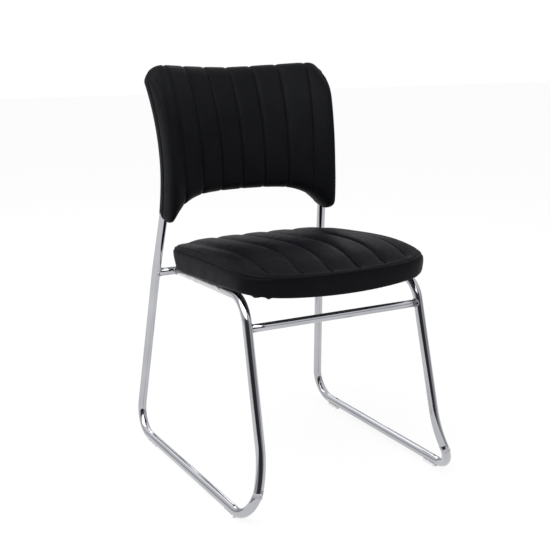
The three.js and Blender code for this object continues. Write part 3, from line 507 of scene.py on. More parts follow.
def bead_mesh(path, radius, sides=BEAD_SIDES):
    count = len(path)
    tangents = np.roll(path, -1, axis=0) - np.roll(path, 1, axis=0)
    tangents /= np.linalg.norm(tangents, axis=1)[:, None]
    centre = path.mean(axis=0)
    rings = []
    for k, (point, tangent) in enumerate(zip(path, tangents)):
        outward = point - centre
        outward = unit(outward - tangent * (outward @ tangent))
        ripple = radius * (1 + RIPPLE * math.sin(k * 2 * math.pi * RIPPLE_TURNS)
                           + SMALL_RIPPLE * math.sin(k * SMALL_RIPPLE_ANGLE))
        rings.append(point + ripple * circle(outward, np.cross(tangent, outward), sides))
    faces = []
    for k in range(count):
        faces += ring_faces(k * sides, (k + 1) % count * sides, sides)
    return np.concatenate(rings), faces


for side_name, side in SIDES:
    leg_top = on_side(side, LEG_TOP)
    corners = side_corners(side)
    rail_foot = corners[-1]
    rail_way = unit(corners[-2] - rail_foot)
    post_way = unit(corners[1] - corners[2])
    leg_way = unit(corners[-2] - corners[-3])
    front_foot = on_side(side, front_bar_end)
    beads = (
        ("rail_weld", junction(rail_foot, rail_way, TUBE_RADIUS, ACROSS, TUBE_RADIUS), WELD_RADIUS),
        ("post_weld", junction(leg_top, -side * ACROSS, TUBE_RADIUS, post_way, TUBE_RADIUS), WELD_RADIUS),
        ("front_weld", junction(front_foot, -side * ACROSS, FRONT_BAR_RADIUS, leg_way, TUBE_RADIUS),
         FRONT_WELD_RADIUS),
    )
    for name, path, radius in beads:
        vertices, faces = bead_mesh(path, radius)
        add_mesh(f"{name}_{side_name}", vertices, faces, weld_chrome)

# Seat: the outline in the plane of the rails, and the heights above it
REAR_HALF, FRONT_HALF = 201, 211.3
REAR_SETBACK, FRONT_SETBACK = 32, 469
MIDDLE = -(REAR_SETBACK + FRONT_SETBACK) / 2
HALF_DEPTH = (FRONT_SETBACK - REAR_SETBACK) / 2
FRONT_SQUARENESS, REAR_SQUARENESS = 7.5, 9.7
FRONT_BOW, REAR_BOW, BOW_POWER = 23, 12, 3
SEAM_REAR, SEAM_FRONT, SEAM_ARCH = 57.2, 39.7, 6.6
SIDE_CROWN_ROLL, END_CROWN_ROLL = 69, 56.5
CROWN_STATIONS, CROWN_HEIGHTS = (0, 0.25, 0.5, 0.75, 1), (10, 21.2, 25.9, 26.9, -6.2)
CROSS_DOME = 2
PITCH, CHANNEL_DEPTH, OUTER_CREASE, VALLEY_FADE = 62.4, 7, 34, 13
SEAM_SHIFT = -6
SEAM_REACH = 2.5 * PITCH
CHANNEL_END = 8
VALLEY_POWER, CREASE_DEPTH, CREASE_WIDTH = 4, 4.4, 2

# Rings from the crown's flat middle out to the seam: their shares of the roll, and their grooves
CORE_SHARE, STITCH_SHARE, PULL_SHARE = 0.36, 0.065, 0.2
RING_SHARES = (0.34, 0.3, 0.26, 0.23, 0.21, 0.2, 0.19, 0.17, 0.145, 0.12, 0.098, 0.08, 0.065, 0.05,
               0.036, 0.023, 0.012, 0.004, 0)
STITCH_GROOVE, PULL_GROOVE, SEAM_GROOVE, GROOVE_INSET = (1.2, 0.017), (0.15, 0.03), (2.0, 0.9), 0.4

# The band round the sides, the roll under it, and the leather turned in over the board
BAND_SHARES = (0.02, 0.045, 0.08, 0.14, 0.22, 0.3, 0.4, 0.5, 0.6, 0.7, 0.8, 0.9, 1)
BAND_BULGE, END_BULGE, SWELL_POWER, BAND_GROOVE = 1.6, 1.8, 0.63, (1.9, 0.035)
BOTTOM, LIP_DROOP, LIP_START, LIP_BELLY = 11.5, 15, 370, 6
BOTTOM_REAR_INSET, BOTTOM_FRONT_INSET, BOTTOM_TAPER = 11, 4.6, 362
BOTTOM_END_INSET, BOTTOM_ROLL, ROLL_STEPS = 13.2, 8, 4
BOARD_REAR_HALF, BOARD_FRONT_HALF, BOARD_SETBACK, BOARD_LENGTH = 201, 211, 38, 429
BOARD_REAR_CUT, BOARD_FRONT_CUT, BOARD_END_INSET, BOARD_CLEARANCE = 19.5, 0.5, 10, 0.7
FLANGE, COVER, BOARD_TOP = 10, 1.8, 26.4

# Gathers under the front corners: where each is, and its share of the depth
GATHERS = ((-187, 1.0), (-167, 0.8), (168, 0.35), (150, 0.25))
GATHER_WIDTH, GATHER_DEPTH, GATHER_START, GATHER_RUN = 3.2, 4.4, 405, 12


def seat_share(y):
    return (-y - REAR_SETBACK) / (2 * HALF_DEPTH)


def half_width(y):
    return mix(REAR_HALF, FRONT_HALF, clamp(seat_share(y)))


def seam_height(y):
    share = seat_share(y)
    return mix(SEAM_REAR, SEAM_FRONT, share) + SEAM_ARCH * (1 - (2 * share - 1) ** 2)


crown_curve = np.polyfit(CROWN_STATIONS, CROWN_HEIGHTS, len(CROWN_HEIGHTS) - 1)


def crown_height(x, y):
    return np.polyval(crown_curve, clamp(seat_share(y))) + CROSS_DOME * (1 - (x / REAR_HALF) ** 2)


def bottom_inset(y):
    return mix(BOTTOM_REAR_INSET, BOTTOM_FRONT_INSET, clamp((-y - REAR_SETBACK) / BOTTOM_TAPER))


def board_inset(y):
    """Inset of the pocket that holds the board, whose half width widens toward the front."""
    setback = -y - BOARD_SETBACK
    full_half = mix(BOARD_REAR_HALF, BOARD_FRONT_HALF, clamp(setback / BOARD_LENGTH))
    board_half = full_half - mix(BOARD_REAR_CUT, BOARD_FRONT_CUT, clamp(setback / BOTTOM_TAPER))
    return half_width(y) - board_half - BOARD_CLEARANCE


def bottom_height(x, y):
    lip = clamp((-y - LIP_START) / (FRONT_SETBACK - LIP_START))
    return BOTTOM - LIP_DROOP * lip ** 2 - LIP_BELLY * lip * (1 - (x / REAR_HALF) ** 2)


def squared_oval(share, squareness):
    return (1 - np.abs(share) ** squareness) ** (1 / squareness)


# Offsets from a seam, close together where the crease is. Those over 3 mm grow with the pitch
SEAM_OFFSETS, LAST_FIXED_OFFSET = (0, 0.8, 1.8, 3.2, 5.2, 8.2, 12.5, 18, 24), 3


def seam_columns(pitch, reach):
    scale = pitch / PITCH
    columns = set()
    for seam in np.arange(-reach, reach + 1, pitch):
        for offset in (o * scale if o > LAST_FIXED_OFFSET else o for o in SEAM_OFFSETS):
            columns.update(c for c in (seam - offset, seam + offset) if -reach <= c <= reach)
    columns.update(np.arange(-reach + pitch / 2, reach, pitch))
    return np.array(sorted(set(round(float(c), 3) for c in columns)))


seat_columns = seam_columns(PITCH, SEAM_REACH) + SEAM_SHIFT
SEAT_ROWS = 84
END_SHARES = np.linspace(0, 1, 6)[1:]
FRONT_CORNER = 2 ** (-1 / FRONT_SQUARENESS)
REAR_CORNER = 2 ** (-1 / REAR_SQUARENESS)
HALVINGS, BOW_STEPS = 22, 6


def bowing(across, share, at_front):
    """How far the outline's front and rear edges bow in toward the sides."""
    bow = np.where(at_front, -FRONT_BOW, REAR_BOW)
    corner = np.where(at_front, FRONT_CORNER, REAR_CORNER)
    return bow * across ** 2 * np.minimum(1, np.abs(share) / corner) ** BOW_POWER


def bowed(across, share, depth):
    return MIDDLE + share * depth - bowing(across, share, share < 0)


def seat_loop(side_inset, end_inset):
    """Outline points in order: front left to right, right side, rear right to left, left side."""
    depth = HALF_DEPTH - end_inset

    def reach(y):
        return half_width(y) - (side_inset(y) if callable(side_inset) else side_inset)

    def end_row(sign, corner, squareness):
        width = reach(bowed(corner, sign * corner, depth))
        x = np.concatenate([mix(seat_columns[0], -corner * width, END_SHARES)[::-1], seat_columns,
                            mix(seat_columns[-1], corner * width, END_SHARES)])
        across = x / width
        return np.stack([x, bowed(across, sign * squared_oval(across, squareness), depth)], axis=-1)

    share = mix(-FRONT_CORNER, REAR_CORNER, np.linspace(0, 1, SEAT_ROWS + 1))
    across = np.where(share < 0, squared_oval(share, FRONT_SQUARENESS),
                      squared_oval(share, REAR_SQUARENESS))
    y = bowed(across, share, depth)
    flank = np.stack([reach(y) * across, y], axis=-1)
    left = flank * (-1, 1)
    front = end_row(-1, FRONT_CORNER, FRONT_SQUARENESS)
    return front, end_row(1, REAR_CORNER, REAR_SQUARENESS), left, flank


def round_loop(front, rear, left, right):
    return np.concatenate([front[:-1], right[:-1], rear[:0:-1], left[:0:-1]])


def seam_distance(x, pitch, reach):
    beyond = np.abs(x) - reach
    inside = np.abs((np.abs(x) - reach + pitch / 2) % pitch - pitch / 2)
    return np.where(beyond > 0, beyond, inside)


def valley(x, pitch, reach, outer):
    """How far a channel falls toward its seam: 1 at the seam, 0 at the channel's middle."""
    distance = seam_distance(x, pitch, reach)
    return np.where(np.abs(x) > reach, clamp(1 - distance / outer) ** 2,
                    clamp(1 - 2 * distance / pitch) ** VALLEY_POWER)


def ring_share(x, y):
    """How far in from the seam a place lies: 0 on the seam, 1 where the crown's roll ends."""
    low, high = np.zeros_like(x), np.ones_like(x)
    squareness = np.where(y < MIDDLE, FRONT_SQUARENESS, REAR_SQUARENESS)
    for _ in range(HALVINGS):
        middle = (low + high) / 2
        across = np.abs(x) / (half_width(y) - SIDE_CROWN_ROLL * middle)
        depth = HALF_DEPTH - END_CROWN_ROLL * middle
        share = (y - MIDDLE) / depth
        for _ in range(BOW_STEPS):
            share = (y - MIDDLE + bowing(across, share, y < MIDDLE)) / depth
        inside = across ** squareness + np.abs(share) ** squareness < 1
        low, high = np.where(inside, middle, low), np.where(inside, high, middle)
    return low


def seat_top(x, y, share):
    across = x - SEAM_SHIFT
    depth = CHANNEL_DEPTH * valley(across, PITCH, SEAM_REACH, OUTER_CREASE)
    crease = groove(seam_distance(across, PITCH, SEAM_REACH), CREASE_DEPTH, CREASE_WIDTH)
    fade = clamp((share * END_CROWN_ROLL - CHANNEL_END) / VALLEY_FADE)
    rise = np.sqrt(1 - (1 - share) ** 2)
    return seam_height(y) + rise * crown_height(x, y) - (depth + crease) * fade


class Surface:
    """Points and faces of one piece, gathered ring by ring."""

    def __init__(self):
        self.points = []
        self.faces = []
        self.count = 0

    def add(self, points):
        start = self.count
        self.points.append(points)
        self.count += len(points)
        return start + np.arange(len(points))

    def sheet(self, grid):
        a, b, c, d = grid[:-1, :-1], grid[:-1, 1:], grid[1:, 1:], grid[1:, :-1]
        self.faces += np.stack([a, b, c, d], axis=-1).reshape(-1, 4).tolist()

    def wall(self, upper, lower):
        a, b = upper, np.roll(upper, -1)
        c, d = np.roll(lower, -1), lower
        self.faces += np.stack([a, d, c, b], axis=-1).tolist()

    def cap(self, loop):
        self.faces.append([int(k) for k in loop])

    def turn_over(self):
        self.faces = [face[::-1] for face in self.faces]

    @property
    def vertices(self):
        return np.concatenate(self.points)


def grid_border(grid):
    return np.concatenate([grid[0, :-1], grid[:-1, -1], grid[-1, :0:-1], grid[:0:-1, 0]])


def coons(outline):
    """A grid of flat positions filling the outline's four rows."""
    front, rear, left, right = outline
    across = (front[:, 0] - front[0, 0]) / (2 * front[-1, 0])
    along = np.linspace(0, 1, SEAT_ROWS + 1)[:, None, None]
    s = across[None, :, None]
    flat = (mix(front[None], rear[None], along) + mix(left[:, None], right[:, None], s)
            - mix(mix(front[0], front[-1], s), mix(rear[0], rear[-1], s), along))
    return flat[..., 0], flat[..., 1]


def gather_bumps(x, y):
    """Small folds where the leather is pulled under the front corners."""
    bumps = 0
    for centre, size in GATHERS:
        bumps = bumps + groove(x - centre, size, GATHER_WIDTH)
    return bumps * clamp((-y - GATHER_START) / GATHER_RUN)


def build_seat_cushion():
    """The closed skin of the seat, from its crown down to the pocket that holds the board."""
    skin = Surface()
    x, y = coons(seat_loop(SIDE_CROWN_ROLL * CORE_SHARE, END_CROWN_ROLL * CORE_SHARE))
    top = seat_points(x, y, seat_top(x, y, ring_share(x, y)))
    grid = skin.add(top.reshape(-1, 3)).reshape(x.shape)
    skin.sheet(grid)
    loop = grid_border(grid)

    def ring(side_inset, end_inset, height):
        nonlocal loop
        flat_ring = round_loop(*seat_loop(side_inset, end_inset))
        ring_x, ring_y = flat_ring[:, 0], flat_ring[:, 1]
        following = skin.add(seat_points(ring_x, ring_y, height(ring_x, ring_y)))
        skin.wall(loop, following)
        loop = following
        return following

    rings = []
    for share in RING_SHARES:
        side_inset, inset = SIDE_CROWN_ROLL * share, END_CROWN_ROLL * share
        dent = (groove(share - STITCH_SHARE, *STITCH_GROOVE) + groove(share - PULL_SHARE, *PULL_GROOVE)
                + groove(inset, *SEAM_GROOVE))
        rings.append(ring(side_inset + GROOVE_INSET * dent, inset + GROOVE_INSET * dent,
                          lambda rx, ry: seat_top(rx, ry, share) - dent))
    for share in BAND_SHARES:
        swell = math.sin(math.pi * share ** SWELL_POWER)
        dent = groove(share, *BAND_GROOVE)
        ring(lambda ry: (bottom_inset(ry) - BOTTOM_ROLL) * share - BAND_BULGE * swell + dent,
             (BOTTOM_END_INSET - BOTTOM_ROLL) * share - END_BULGE * swell + dent,
             lambda rx, ry: mix(seam_height(ry), bottom_height(rx, ry) + BOTTOM_ROLL, share))
    for step in range(1, ROLL_STEPS + 1):
        phi = math.pi / 2 * step / ROLL_STEPS
        draw = BOTTOM_ROLL * math.cos(phi)
        ring(lambda ry: bottom_inset(ry) - draw, BOTTOM_END_INSET - draw,
             lambda rx, ry: bottom_height(rx, ry) + BOTTOM_ROLL * (1 - math.sin(phi))
             - GATHER_DEPTH * gather_bumps(rx, ry) * math.sin(phi))
    for extra, rise in ((FLANGE / 2, 0), (FLANGE, 0), (FLANGE, COVER)):
        ring(lambda ry: bottom_inset(ry) + extra, BOTTOM_END_INSET + extra,
             lambda rx, ry: bottom_height(rx, ry) + rise)
    ring(board_inset, BOARD_END_INSET, lambda rx, ry: bottom_height(rx, ry) + COVER)
    ring(board_inset, BOARD_END_INSET, lambda rx, ry: BOARD_TOP)
    skin.cap(loop)
    skin.turn_over()
    return skin, grid, rings


seat_skin, seat_grid, seat_rings = build_seat_cushion()
seat_cushion = add_mesh("seat_cushion", seat_skin.vertices, seat_skin.faces, leather)
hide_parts("seat_cover", "seat_foam")

# Cloth stapled under the seat
CLOTH_INSET, CLOTH_TOP, CLOTH_THICKNESS = 6.5, -0.05, 0.25


def build_seat_cloth():
    skin = Surface()
    x, y = coons(seat_loop(lambda ry: bottom_inset(ry) + CLOTH_INSET, BOTTOM_END_INSET + CLOTH_INSET))
    grids = []
    for drop in (0, CLOTH_THICKNESS):
        points = seat_points(x, y, bottom_height(x, y) + CLOTH_TOP - drop)
        grids.append(skin.add(points.reshape(-1, 3)).reshape(x.shape))
    skin.sheet(grids[0])
    skin.sheet(grids[1][:, ::-1])
    skin.wall(grid_border(grids[0]), grid_border(grids[1]))
    return skin


cloth_skin = build_seat_cloth()
seat_cloth = add_mesh("seat_cloth", cloth_skin.vertices, cloth_skin.faces, dust_cloth)
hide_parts("seat_dust_cover")

# Back: the outline by height, and radii from the arc's axis
BACK_EDGE = 207
FRONT_EDGE, FRONT_SAGITTA = POST_BEND_RADIUS + 56.5, 71.5
REAR_EDGE, REAR_SAGITTA = POST_BEND_RADIUS - 14, 45
BOARD_EDGE, BOARD_SAGITTA, BOARD_THICKNESS = POST_BEND_RADIUS + 37, 70, 8
WAIST_HALF, WAIST_HEIGHT = 205.6, AXIS_HEIGHT + 20
FLARE_GAIN, FLARE_RISE, TIP_GAIN, TIP_TAPER, TIP_POWER = 9, 190, 3.5, 107, 1.3
TOP_HEIGHT, TOP_DIP, TOP_DIP_SPAN, TOP_DIP_POWER = AXIS_HEIGHT + 228, 9.5, 168, 1.5
TOP_CORNER, PLATE_CORNER = 20, 56
CORNER_ROLL, CORNER_REACH, CORNER_SKEW, CORNER_GAIN = 40, 118, 1.9, 1.45
SEAM_FAN, FAN_RISE, FAN_POWER = 0.085, 208, 1.5
ARCH_HEIGHT, ARCH_DROP, TIP_SPAN, TIP_ROUNDING, ARCH_SQUARENESS = AXIS_HEIGHT - 36, 55, 191.5, 13.5, 5.2
BACK_REACH, BACK_PITCH, OUTER_SPAN, PLACE_STEPS = 160, 160 / 3, 44, 8
BACK_CHANNEL, BACK_OUTER_CREASE, BACK_CREASE_DEPTH, BACK_CREASE_WIDTH = 2.6, 24, 3, 2.5
BACK_FADE, EDGE_SHARE, CORNER_FADE, TIP_ROLL_POWER = 10, 0.3, 30, 4
SIDE_ROLL, TOP_ROLL, BOTTOM_EDGE_ROLL, TIP_ROLL, REAR_ROLL, ROLL_BACK = 24, 26, 21, 36, 9, 24
SEAM_SHARE, SEAM_GAP, NOTCH_DEPTH, NOTCH_WIDTH, SIDE_POWER, WALL_LEAST = 0.34, 0.8, 1.1, 4, 2.5, 2

# The wall from the face to the seam, and what is turned in against the board
WALL_SHARES, WALL_GROOVE, WALL_SWELL = (0.15, 0.35, 0.6, 0.8, 0.9, 0.96, 1), (1.1, 0.09), 0.8
BOARD_GAP, FRONT_TURN_IN, REAR_TURN_IN = 0.5, 5, 6

# How far a place is from the edges and the top corner, and its place across before the fan
Edges = namedtuple("Edges", "side top bottom corner seam_x")


def dish(x):
    """Share of an arc's depth: 1 in the middle of the back, 0 at its sides."""
    return 1 - (x / BACK_EDGE) ** 2


def front_radius(x):
    return FRONT_EDGE - FRONT_SAGITTA * dish(x)


def rear_radius(x):
    return REAR_EDGE - REAR_SAGITTA * dish(x)


def seam_radius(x):
    return mix(rear_radius(x), front_radius(x), SEAM_SHARE)


def board_radius(x):
    return BOARD_EDGE - BOARD_SAGITTA * dish(x)


def back_half(height):
    above = height - WAIST_HEIGHT
    return WAIST_HALF + np.where(above > 0, FLARE_GAIN * (above / FLARE_RISE) ** 2,
                                 TIP_GAIN * (np.maximum(0, -above) / TIP_TAPER) ** TIP_POWER)


def rounded_drop(radius, distance, power=2):
    """How far a rounded edge falls at a distance from its end."""
    reach = np.clip(radius - np.maximum(0, distance), 0, radius)
    return radius - (radius ** power - reach ** power) ** (1 / power)


def fan(height):
    """How much wider the channels are spread than at the waist."""
    return 1 + SEAM_FAN * clamp((height - WAIST_HEIGHT) / FAN_RISE) ** FAN_POWER


def notch(x):
    """Dip of the back's top and bottom edges at a seam."""
    return groove(seam_distance(x, BACK_PITCH, BACK_REACH), NOTCH_DEPTH, NOTCH_WIDTH)


def back_top(x, half, corner):
    return (TOP_HEIGHT + TOP_DIP * (np.abs(x) / TOP_DIP_SPAN) ** TOP_DIP_POWER
            - rounded_drop(corner, half - np.abs(x)) - notch(x / (1 + SEAM_FAN)))


def back_bottom(x, half):
    share = np.minimum(1, np.abs(x) / TIP_SPAN)
    return (ARCH_HEIGHT - ARCH_DROP * share ** ARCH_SQUARENESS
            + rounded_drop(TIP_ROUNDING, half - np.abs(x)) + notch(x))


inner_columns = seam_columns(BACK_PITCH, BACK_REACH)
OUTER_SHARES = np.array([0.05, 0.12, 0.21, 0.32, 0.44, 0.56, 0.67, 0.77, 0.85, 0.91, 0.955, 0.985, 1])
outer_columns = BACK_REACH + OUTER_SHARES * OUTER_SPAN
column_x = np.concatenate([-outer_columns[::-1], inner_columns, outer_columns])
column_share = np.concatenate([OUTER_SHARES[::-1], 0 * inner_columns, OUTER_SHARES])
EDGE_ROWS = [0, 0.003, 0.008, 0.015, 0.024, 0.035, 0.048, 0.063, 0.08]
row_share = np.array(EDGE_ROWS + list(np.linspace(0.1, 0.9, 41)) + [1 - r for r in reversed(EDGE_ROWS)])


def back_places(side_inset, end_inset, corner=TOP_CORNER):
    """Places across the back, their angles round its axis, and how far each is from the edges."""
    x = np.broadcast_to(column_x, (len(row_share), len(column_x))).copy()
    row = row_share[:, None]
    height = mix(back_bottom(x, WAIST_HALF), back_top(x, WAIST_HALF, corner), row)
    half = back_half(height)
    for _ in range(PLACE_STEPS):
        limit = half - side_inset
        outer = np.sign(column_x) * mix(BACK_REACH * fan(height), limit, column_share)
        x = np.where(column_share > 0, outer, column_x * fan(height))
        height = mix(back_bottom(x, half) + end_inset, back_top(x, half, corner) - end_inset, row)
        half = back_half(height)
    angle = np.arcsin((height - AXIS_HEIGHT) / (front_radius(x) - ROLL_BACK))
    side = half - np.abs(x)
    top = back_top(x, half, corner) - height
    from_corner = CORNER_SKEW * side + top + rounded_drop(corner, side)
    return x, angle, Edges(side, top, height - back_bottom(x, half), from_corner, x / fan(height))


def back_points(x, angle, radius):
    return np.stack([x, AXIS_DEPTH - radius * np.cos(angle),
                     AXIS_HEIGHT + radius * np.sin(angle)], axis=-1)


def roll_depth(edges, side, top, bottom, corner=0):
    """How far the leather rolls back at a place, for the rolls' sizes along each edge."""
    nearness = clamp(1 - edges.corner / CORNER_REACH)
    drops = (rounded_drop(side, edges.side, SIDE_POWER), rounded_drop(top, edges.top),
             rounded_drop(bottom, edges.bottom), corner * np.minimum(1, CORNER_GAIN * nearness ** 2))
    return np.cbrt(sum(drop ** 3 for drop in drops))


def front_face(x, edges):
    fade = mix(EDGE_SHARE, 1, clamp(np.minimum(edges.top, edges.bottom) / BACK_FADE))
    from_seam = seam_distance(edges.seam_x, BACK_PITCH, BACK_REACH)
    crease = groove(from_seam, BACK_CREASE_DEPTH, BACK_CREASE_WIDTH)
    depth = BACK_CHANNEL * valley(edges.seam_x, BACK_PITCH, BACK_REACH, BACK_OUTER_CREASE)
    bottom_roll = mix(BOTTOM_EDGE_ROLL, TIP_ROLL, clamp(np.abs(x) / TIP_SPAN) ** TIP_ROLL_POWER)
    roll = np.minimum(roll_depth(edges, SIDE_ROLL, TOP_ROLL, bottom_roll, CORNER_ROLL),
                      front_radius(x) - seam_radius(x) - WALL_LEAST)
    return front_radius(x) - roll - (depth + crease) * fade * clamp(edges.corner / CORNER_FADE)


def rear_face(x, edges):
    return rear_radius(x) + roll_depth(edges, REAR_ROLL, REAR_ROLL, REAR_ROLL)


def build_back(face, seam_side, closing, closing_inset):
    """A closed padded shell: its face, the wall round its edge and the surface against the board."""
    skin = Surface()

    def at_seam(ring_x):
        return seam_radius(ring_x) + seam_side * SEAM_GAP / 2

    x, angle, edges = back_places(0, 0)
    radius = face(x, edges)
    grid = skin.add(back_points(x, angle, radius).reshape(-1, 3)).reshape(x.shape)
    skin.sheet(grid)
    loop = grid_border(grid)
    rim = grid_border(radius)
    for share in WALL_SHARES:
        dent = groove(1 - share, *WALL_GROOVE) - WALL_SWELL * math.sin(math.pi * share)
        px, pa, _ = back_places(dent, dent)
        px, pa = grid_border(px), grid_border(pa)
        following = skin.add(back_points(px, pa, mix(rim, at_seam(px), share)))
        skin.wall(loop, following)
        loop = following
    px, pa, _ = back_places(closing_inset, closing_inset, PLATE_CORNER)
    turned_x, turned_angle = grid_border(px), grid_border(pa)
    turned_in = skin.add(back_points(turned_x, turned_angle, at_seam(turned_x)))
    skin.wall(loop, turned_in)
    inner = skin.add(back_points(px, pa, closing(px)).reshape(-1, 3)).reshape(px.shape)
    skin.wall(turned_in, grid_border(inner))
    skin.sheet(inner[:, ::-1])
    return skin, grid


front_skin, front_grid = build_back(front_face, 1, lambda x: board_radius(x) + BOARD_GAP, FRONT_TURN_IN)
rear_skin, _ = build_back(rear_face, -1, lambda x: board_radius(x) - BOARD_THICKNESS - BOARD_GAP,
                          REAR_TURN_IN)
rear_skin.turn_over()
back_front = add_mesh("back_cushion_front", front_skin.vertices, front_skin.faces,
                      back_leather_painted_light)
back_rear = add_mesh("back_cushion_rear", rear_skin.vertices, rear_skin.faces,
                     back_leather_painted_light)
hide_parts("back_cover_front", "back_foam")
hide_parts("back_cover_rear", "back_pad")

# Stitches, each a short thread that dips into the leather at its ends
STITCH_PITCH, STITCH_LENGTH, TOP_THREAD, CHANNEL_THREAD = 4.6, 3.3, 0.42, 0.4
THREAD_SIDES, THREAD_STATIONS = 6, np.linspace(-0.5, 0.5, 5)
THREAD_LIFT, THREAD_SINK, THREAD_TIP, THREAD_SWELL, LEAST_TAPER = 0.9, 0.3, 0.45, 0.55, 0.05

# Rings of the seat that its channel stitches cross, and the back's rows that they leave free
STITCHED_RINGS, FREE_ROWS = 8, 3


def stitches(name, obj, skin, index_paths, radius, sides=THREAD_SIDES):
    """Stitches along paths that are given as indices of a skin's points."""
    points = skin.vertices
    normals = np.zeros(3 * len(obj.data.vertices))
    obj.data.vertices.foreach_get("normal", normals)
    normals = normals.reshape(-1, 3)
    vertices, faces, count = [], [], 0
    for ids in index_paths:
        path, normal = points[ids], normals[ids]
        steps = np.linalg.norm(np.diff(path, axis=0), axis=1)
        travelled = np.concatenate([[0], np.cumsum(steps)])

        def at(values, place):
            return np.array([np.interp(place, travelled, values[:, k]) for k in range(3)])

        for middle in np.arange(STITCH_PITCH / 2, travelled[-1], STITCH_PITCH):
            centre = at(path, middle)
            way = unit(at(path, middle + 1) - at(path, middle - 1))
            up = at(normal, middle)
            up = unit(up - way * (up @ way))
            ring = circle(np.cross(way, up), up, sides)
            for station in THREAD_STATIONS:
                taper = math.sqrt(max(LEAST_TAPER, 1 - (2 * station) ** 2))
                place = (centre + way * station * STITCH_LENGTH
                         + up * radius * (THREAD_LIFT * taper - THREAD_SINK))
                vertices.append(place + radius * (THREAD_TIP + THREAD_SWELL * taper) * ring)
            last = len(THREAD_STATIONS) - 1
            for k in range(last):
                faces += ring_faces(count + k * sides, count + (k + 1) * sides, sides)
            faces.append(tuple(count + k for k in reversed(range(sides))))
            faces.append(tuple(count + last * sides + k for k in range(sides)))
            count += len(THREAD_STATIONS) * sides
    return add_mesh(name, np.concatenate(vertices), faces, thread)


def nearest_columns(columns, pitch, reach):
    return [int(np.argmin(np.abs(columns - x))) for x in np.arange(-reach, reach + 1, pitch)]


stitch_ring = seat_rings[RING_SHARES.index(STITCH_SHARE)]
closed_ring = np.append(stitch_ring, stitch_ring[0])
stitches("seat_top_stitch", seat_cushion, seat_skin, [closed_ring], TOP_THREAD)

last_column = seat_grid.shape[1] - 1
channel_paths = []
for column in nearest_columns(seat_columns - SEAM_SHIFT, PITCH, SEAM_REACH):
    front_index = len(END_SHARES) + column
    rear_index = 2 * last_column + SEAT_ROWS - front_index
    rings = seat_rings[:STITCHED_RINGS]
    channel_paths.append(np.array([ring[rear_index] for ring in reversed(rings)]
                                  + list(seat_grid[::-1, front_index])
                                  + [ring[front_index] for ring in rings]))
stitches("seat_channel_stitch", seat_cushion, seat_skin, channel_paths, CHANNEL_THREAD)

back_paths = [front_grid[FREE_ROWS:-FREE_ROWS, column]
              for column in nearest_columns(column_x, BACK_PITCH, BACK_REACH)]
stitches("back_channel_stitch", back_front, front_skin, back_paths, CHANNEL_THREAD)

# Floor, light and camera
CAMERA_PLACE = (-1.031, -1.8103, 0.905)
CAMERA_AZIMUTH, CAMERA_ELEVATION = math.radians(29.08), math.radians(13.67)
CAMERA_FOCAL_PIXELS, PICTURE_PIXELS, SENSOR_WIDTH = 1006.5, 550, 36
FLOOR_HALF, FLOOR_WHITE = 12, 0.88

# The studio: a tent of grey light, and a dark side toward where the photograph was taken from
TENT_STOPS = [(0, (0.36, 0.365, 0.39)), (0.14, (0.52, 0.525, 0.55)), (0.5, (1.0, 1.0, 1.02))]
DARK_SIDE_STOPS = [(0.0, 1), (0.58, 1), (0.8, 0.09)]
DARK_SIDE_LEVEL, DARK_SIDE_RISE = 0.95, 0.31


def mix_shaders(tree, share, first, second, output):
    """Mixes two shaders, with the given share of the second."""
    blend = add_node(tree, "ShaderNodeMixShader")
    for source, place in ((share, "Fac"), (first, 1), (second, 2)):
        tree.links.new(source, blend.inputs[place])
    tree.links.new(blend.outputs["Shader"], tree.nodes[output].inputs["Surface"])


def make_floor():
    """A pale floor that keeps the chair's shadow, and that the camera and the chrome see as white."""
    mesh = bpy.data.meshes.new("floor")
    corners = [(x * FLOOR_HALF, y * FLOOR_HALF, 0) for x, y in ((-1, -1), (1, -1), (1, 1), (-1, 1))]
    mesh.from_pydata(corners, [], [(0, 1, 2, 3)])
    floor = add_object("floor", mesh)
    material, tree, shader, place = node_material("pale_floor")
    clouds = noise(tree, place, scale=1.5, detail=2)
    tone = ramp(tree, clouds, [(0.3, 0.95), (0.7, 0.96)])
    feed(tree, shader, {"Base Color": tone, "Roughness": 0.9, "Specular IOR Level": 0.1})
    rays = add_node(tree, "ShaderNodeLightPath")
    glow = add_node(tree, "ShaderNodeEmission", Strength=1.0)
    seen = add_node(tree, "ShaderNodeMath", operation="MAXIMUM")
    tree.links.new(rays.outputs["Is Camera Ray"], seen.inputs[0])
    tree.links.new(rays.outputs["Is Glossy Ray"], seen.inputs[1])
    share = add_node(tree, "ShaderNodeMath", operation="MULTIPLY")
    share.inputs[1].default_value = FLOOR_WHITE
    tree.links.new(seen.outputs[0], share.inputs[0])
    mix_shaders(tree, share.outputs[0], shader.outputs["BSDF"], glow.outputs["Emission"],
                "Material Output")
    mesh.materials.append(material)


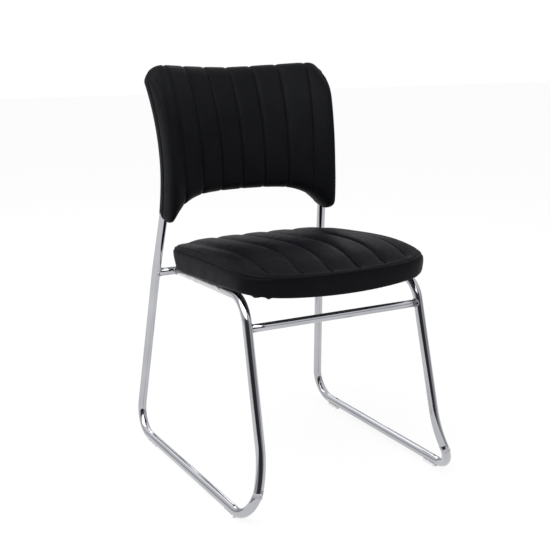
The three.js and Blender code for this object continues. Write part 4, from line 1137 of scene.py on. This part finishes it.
def make_world():
    """The studio's light, which the chrome shows too, and plain white for the camera."""
    world = bpy.data.worlds.new("studio")
    bpy.context.scene.world = world
    world.use_nodes = True
    tree = world.node_tree
    background = tree.nodes["Background"]
    place = add_node(tree, "ShaderNodeTexCoord").outputs["Generated"]
    toward = (-math.sin(CAMERA_AZIMUTH) * DARK_SIDE_LEVEL, -math.cos(CAMERA_AZIMUTH) * DARK_SIDE_LEVEL,
              DARK_SIDE_RISE)
    facing = node_at(tree, place, "ShaderNodeVectorMath", operation="DOT_PRODUCT")
    facing.inputs[1].default_value = toward
    dark_side = ramp(tree, facing.outputs["Value"], DARK_SIDE_STOPS)
    rise = node_at(tree, place, "ShaderNodeSeparateXYZ").outputs["Z"]
    tent = ramp(tree, rise, TENT_STOPS)
    studio = add_node(tree, "ShaderNodeVectorMath", operation="MULTIPLY")
    tree.links.new(tent, studio.inputs[0])
    tree.links.new(dark_side, studio.inputs[1])
    tree.links.new(studio.outputs["Vector"], background.inputs["Color"])
    white = add_node(tree, "ShaderNodeBackground", Color=(1, 1, 1, 1), Strength=1.0)
    rays = add_node(tree, "ShaderNodeLightPath")
    mix_shaders(tree, rays.outputs["Is Camera Ray"], background.outputs["Background"],
                white.outputs["Background"], "World Output")


def aim(obj, place, heading):
    obj.location = place
    obj.rotation_euler = heading.to_track_quat("-Z", "Y").to_euler()


def add_lamp(name, place, target, size, watts):
    lamp = bpy.data.lights.new(name, "AREA")
    lamp.shape = "RECTANGLE"
    lamp.size, lamp.size_y = size
    lamp.energy = watts
    aim(add_object(name, lamp), place, Vector(target) - Vector(place))


def make_camera():
    camera = bpy.data.cameras.new("camera")
    camera.sensor_width = SENSOR_WIDTH
    camera.lens = CAMERA_FOCAL_PIXELS / PICTURE_PIXELS * SENSOR_WIDTH
    obj = add_object("camera", camera)
    heading = Vector((math.sin(CAMERA_AZIMUTH) * math.cos(CAMERA_ELEVATION),
                      math.cos(CAMERA_AZIMUTH) * math.cos(CAMERA_ELEVATION),
                      -math.sin(CAMERA_ELEVATION)))
    aim(obj, CAMERA_PLACE, heading)
    bpy.context.scene.camera = obj


make_floor()
make_world()
add_lamp("key", place=(-1.9, -0.3, 2.7), target=(0, 0, 0.5), size=(2.8, 2.8), watts=66)
add_lamp("fill", place=(-1.2, -2.3, 3.0), target=(0, 0, 0.5), size=(2.4, 2.4), watts=42)
add_lamp("rim", place=(0.6, 2.6, 1.9), target=(0, 0, 0.6), size=(2.2, 1.6), watts=14)
make_camera()
bpy.context.scene.view_settings.view_transform = "Standard"
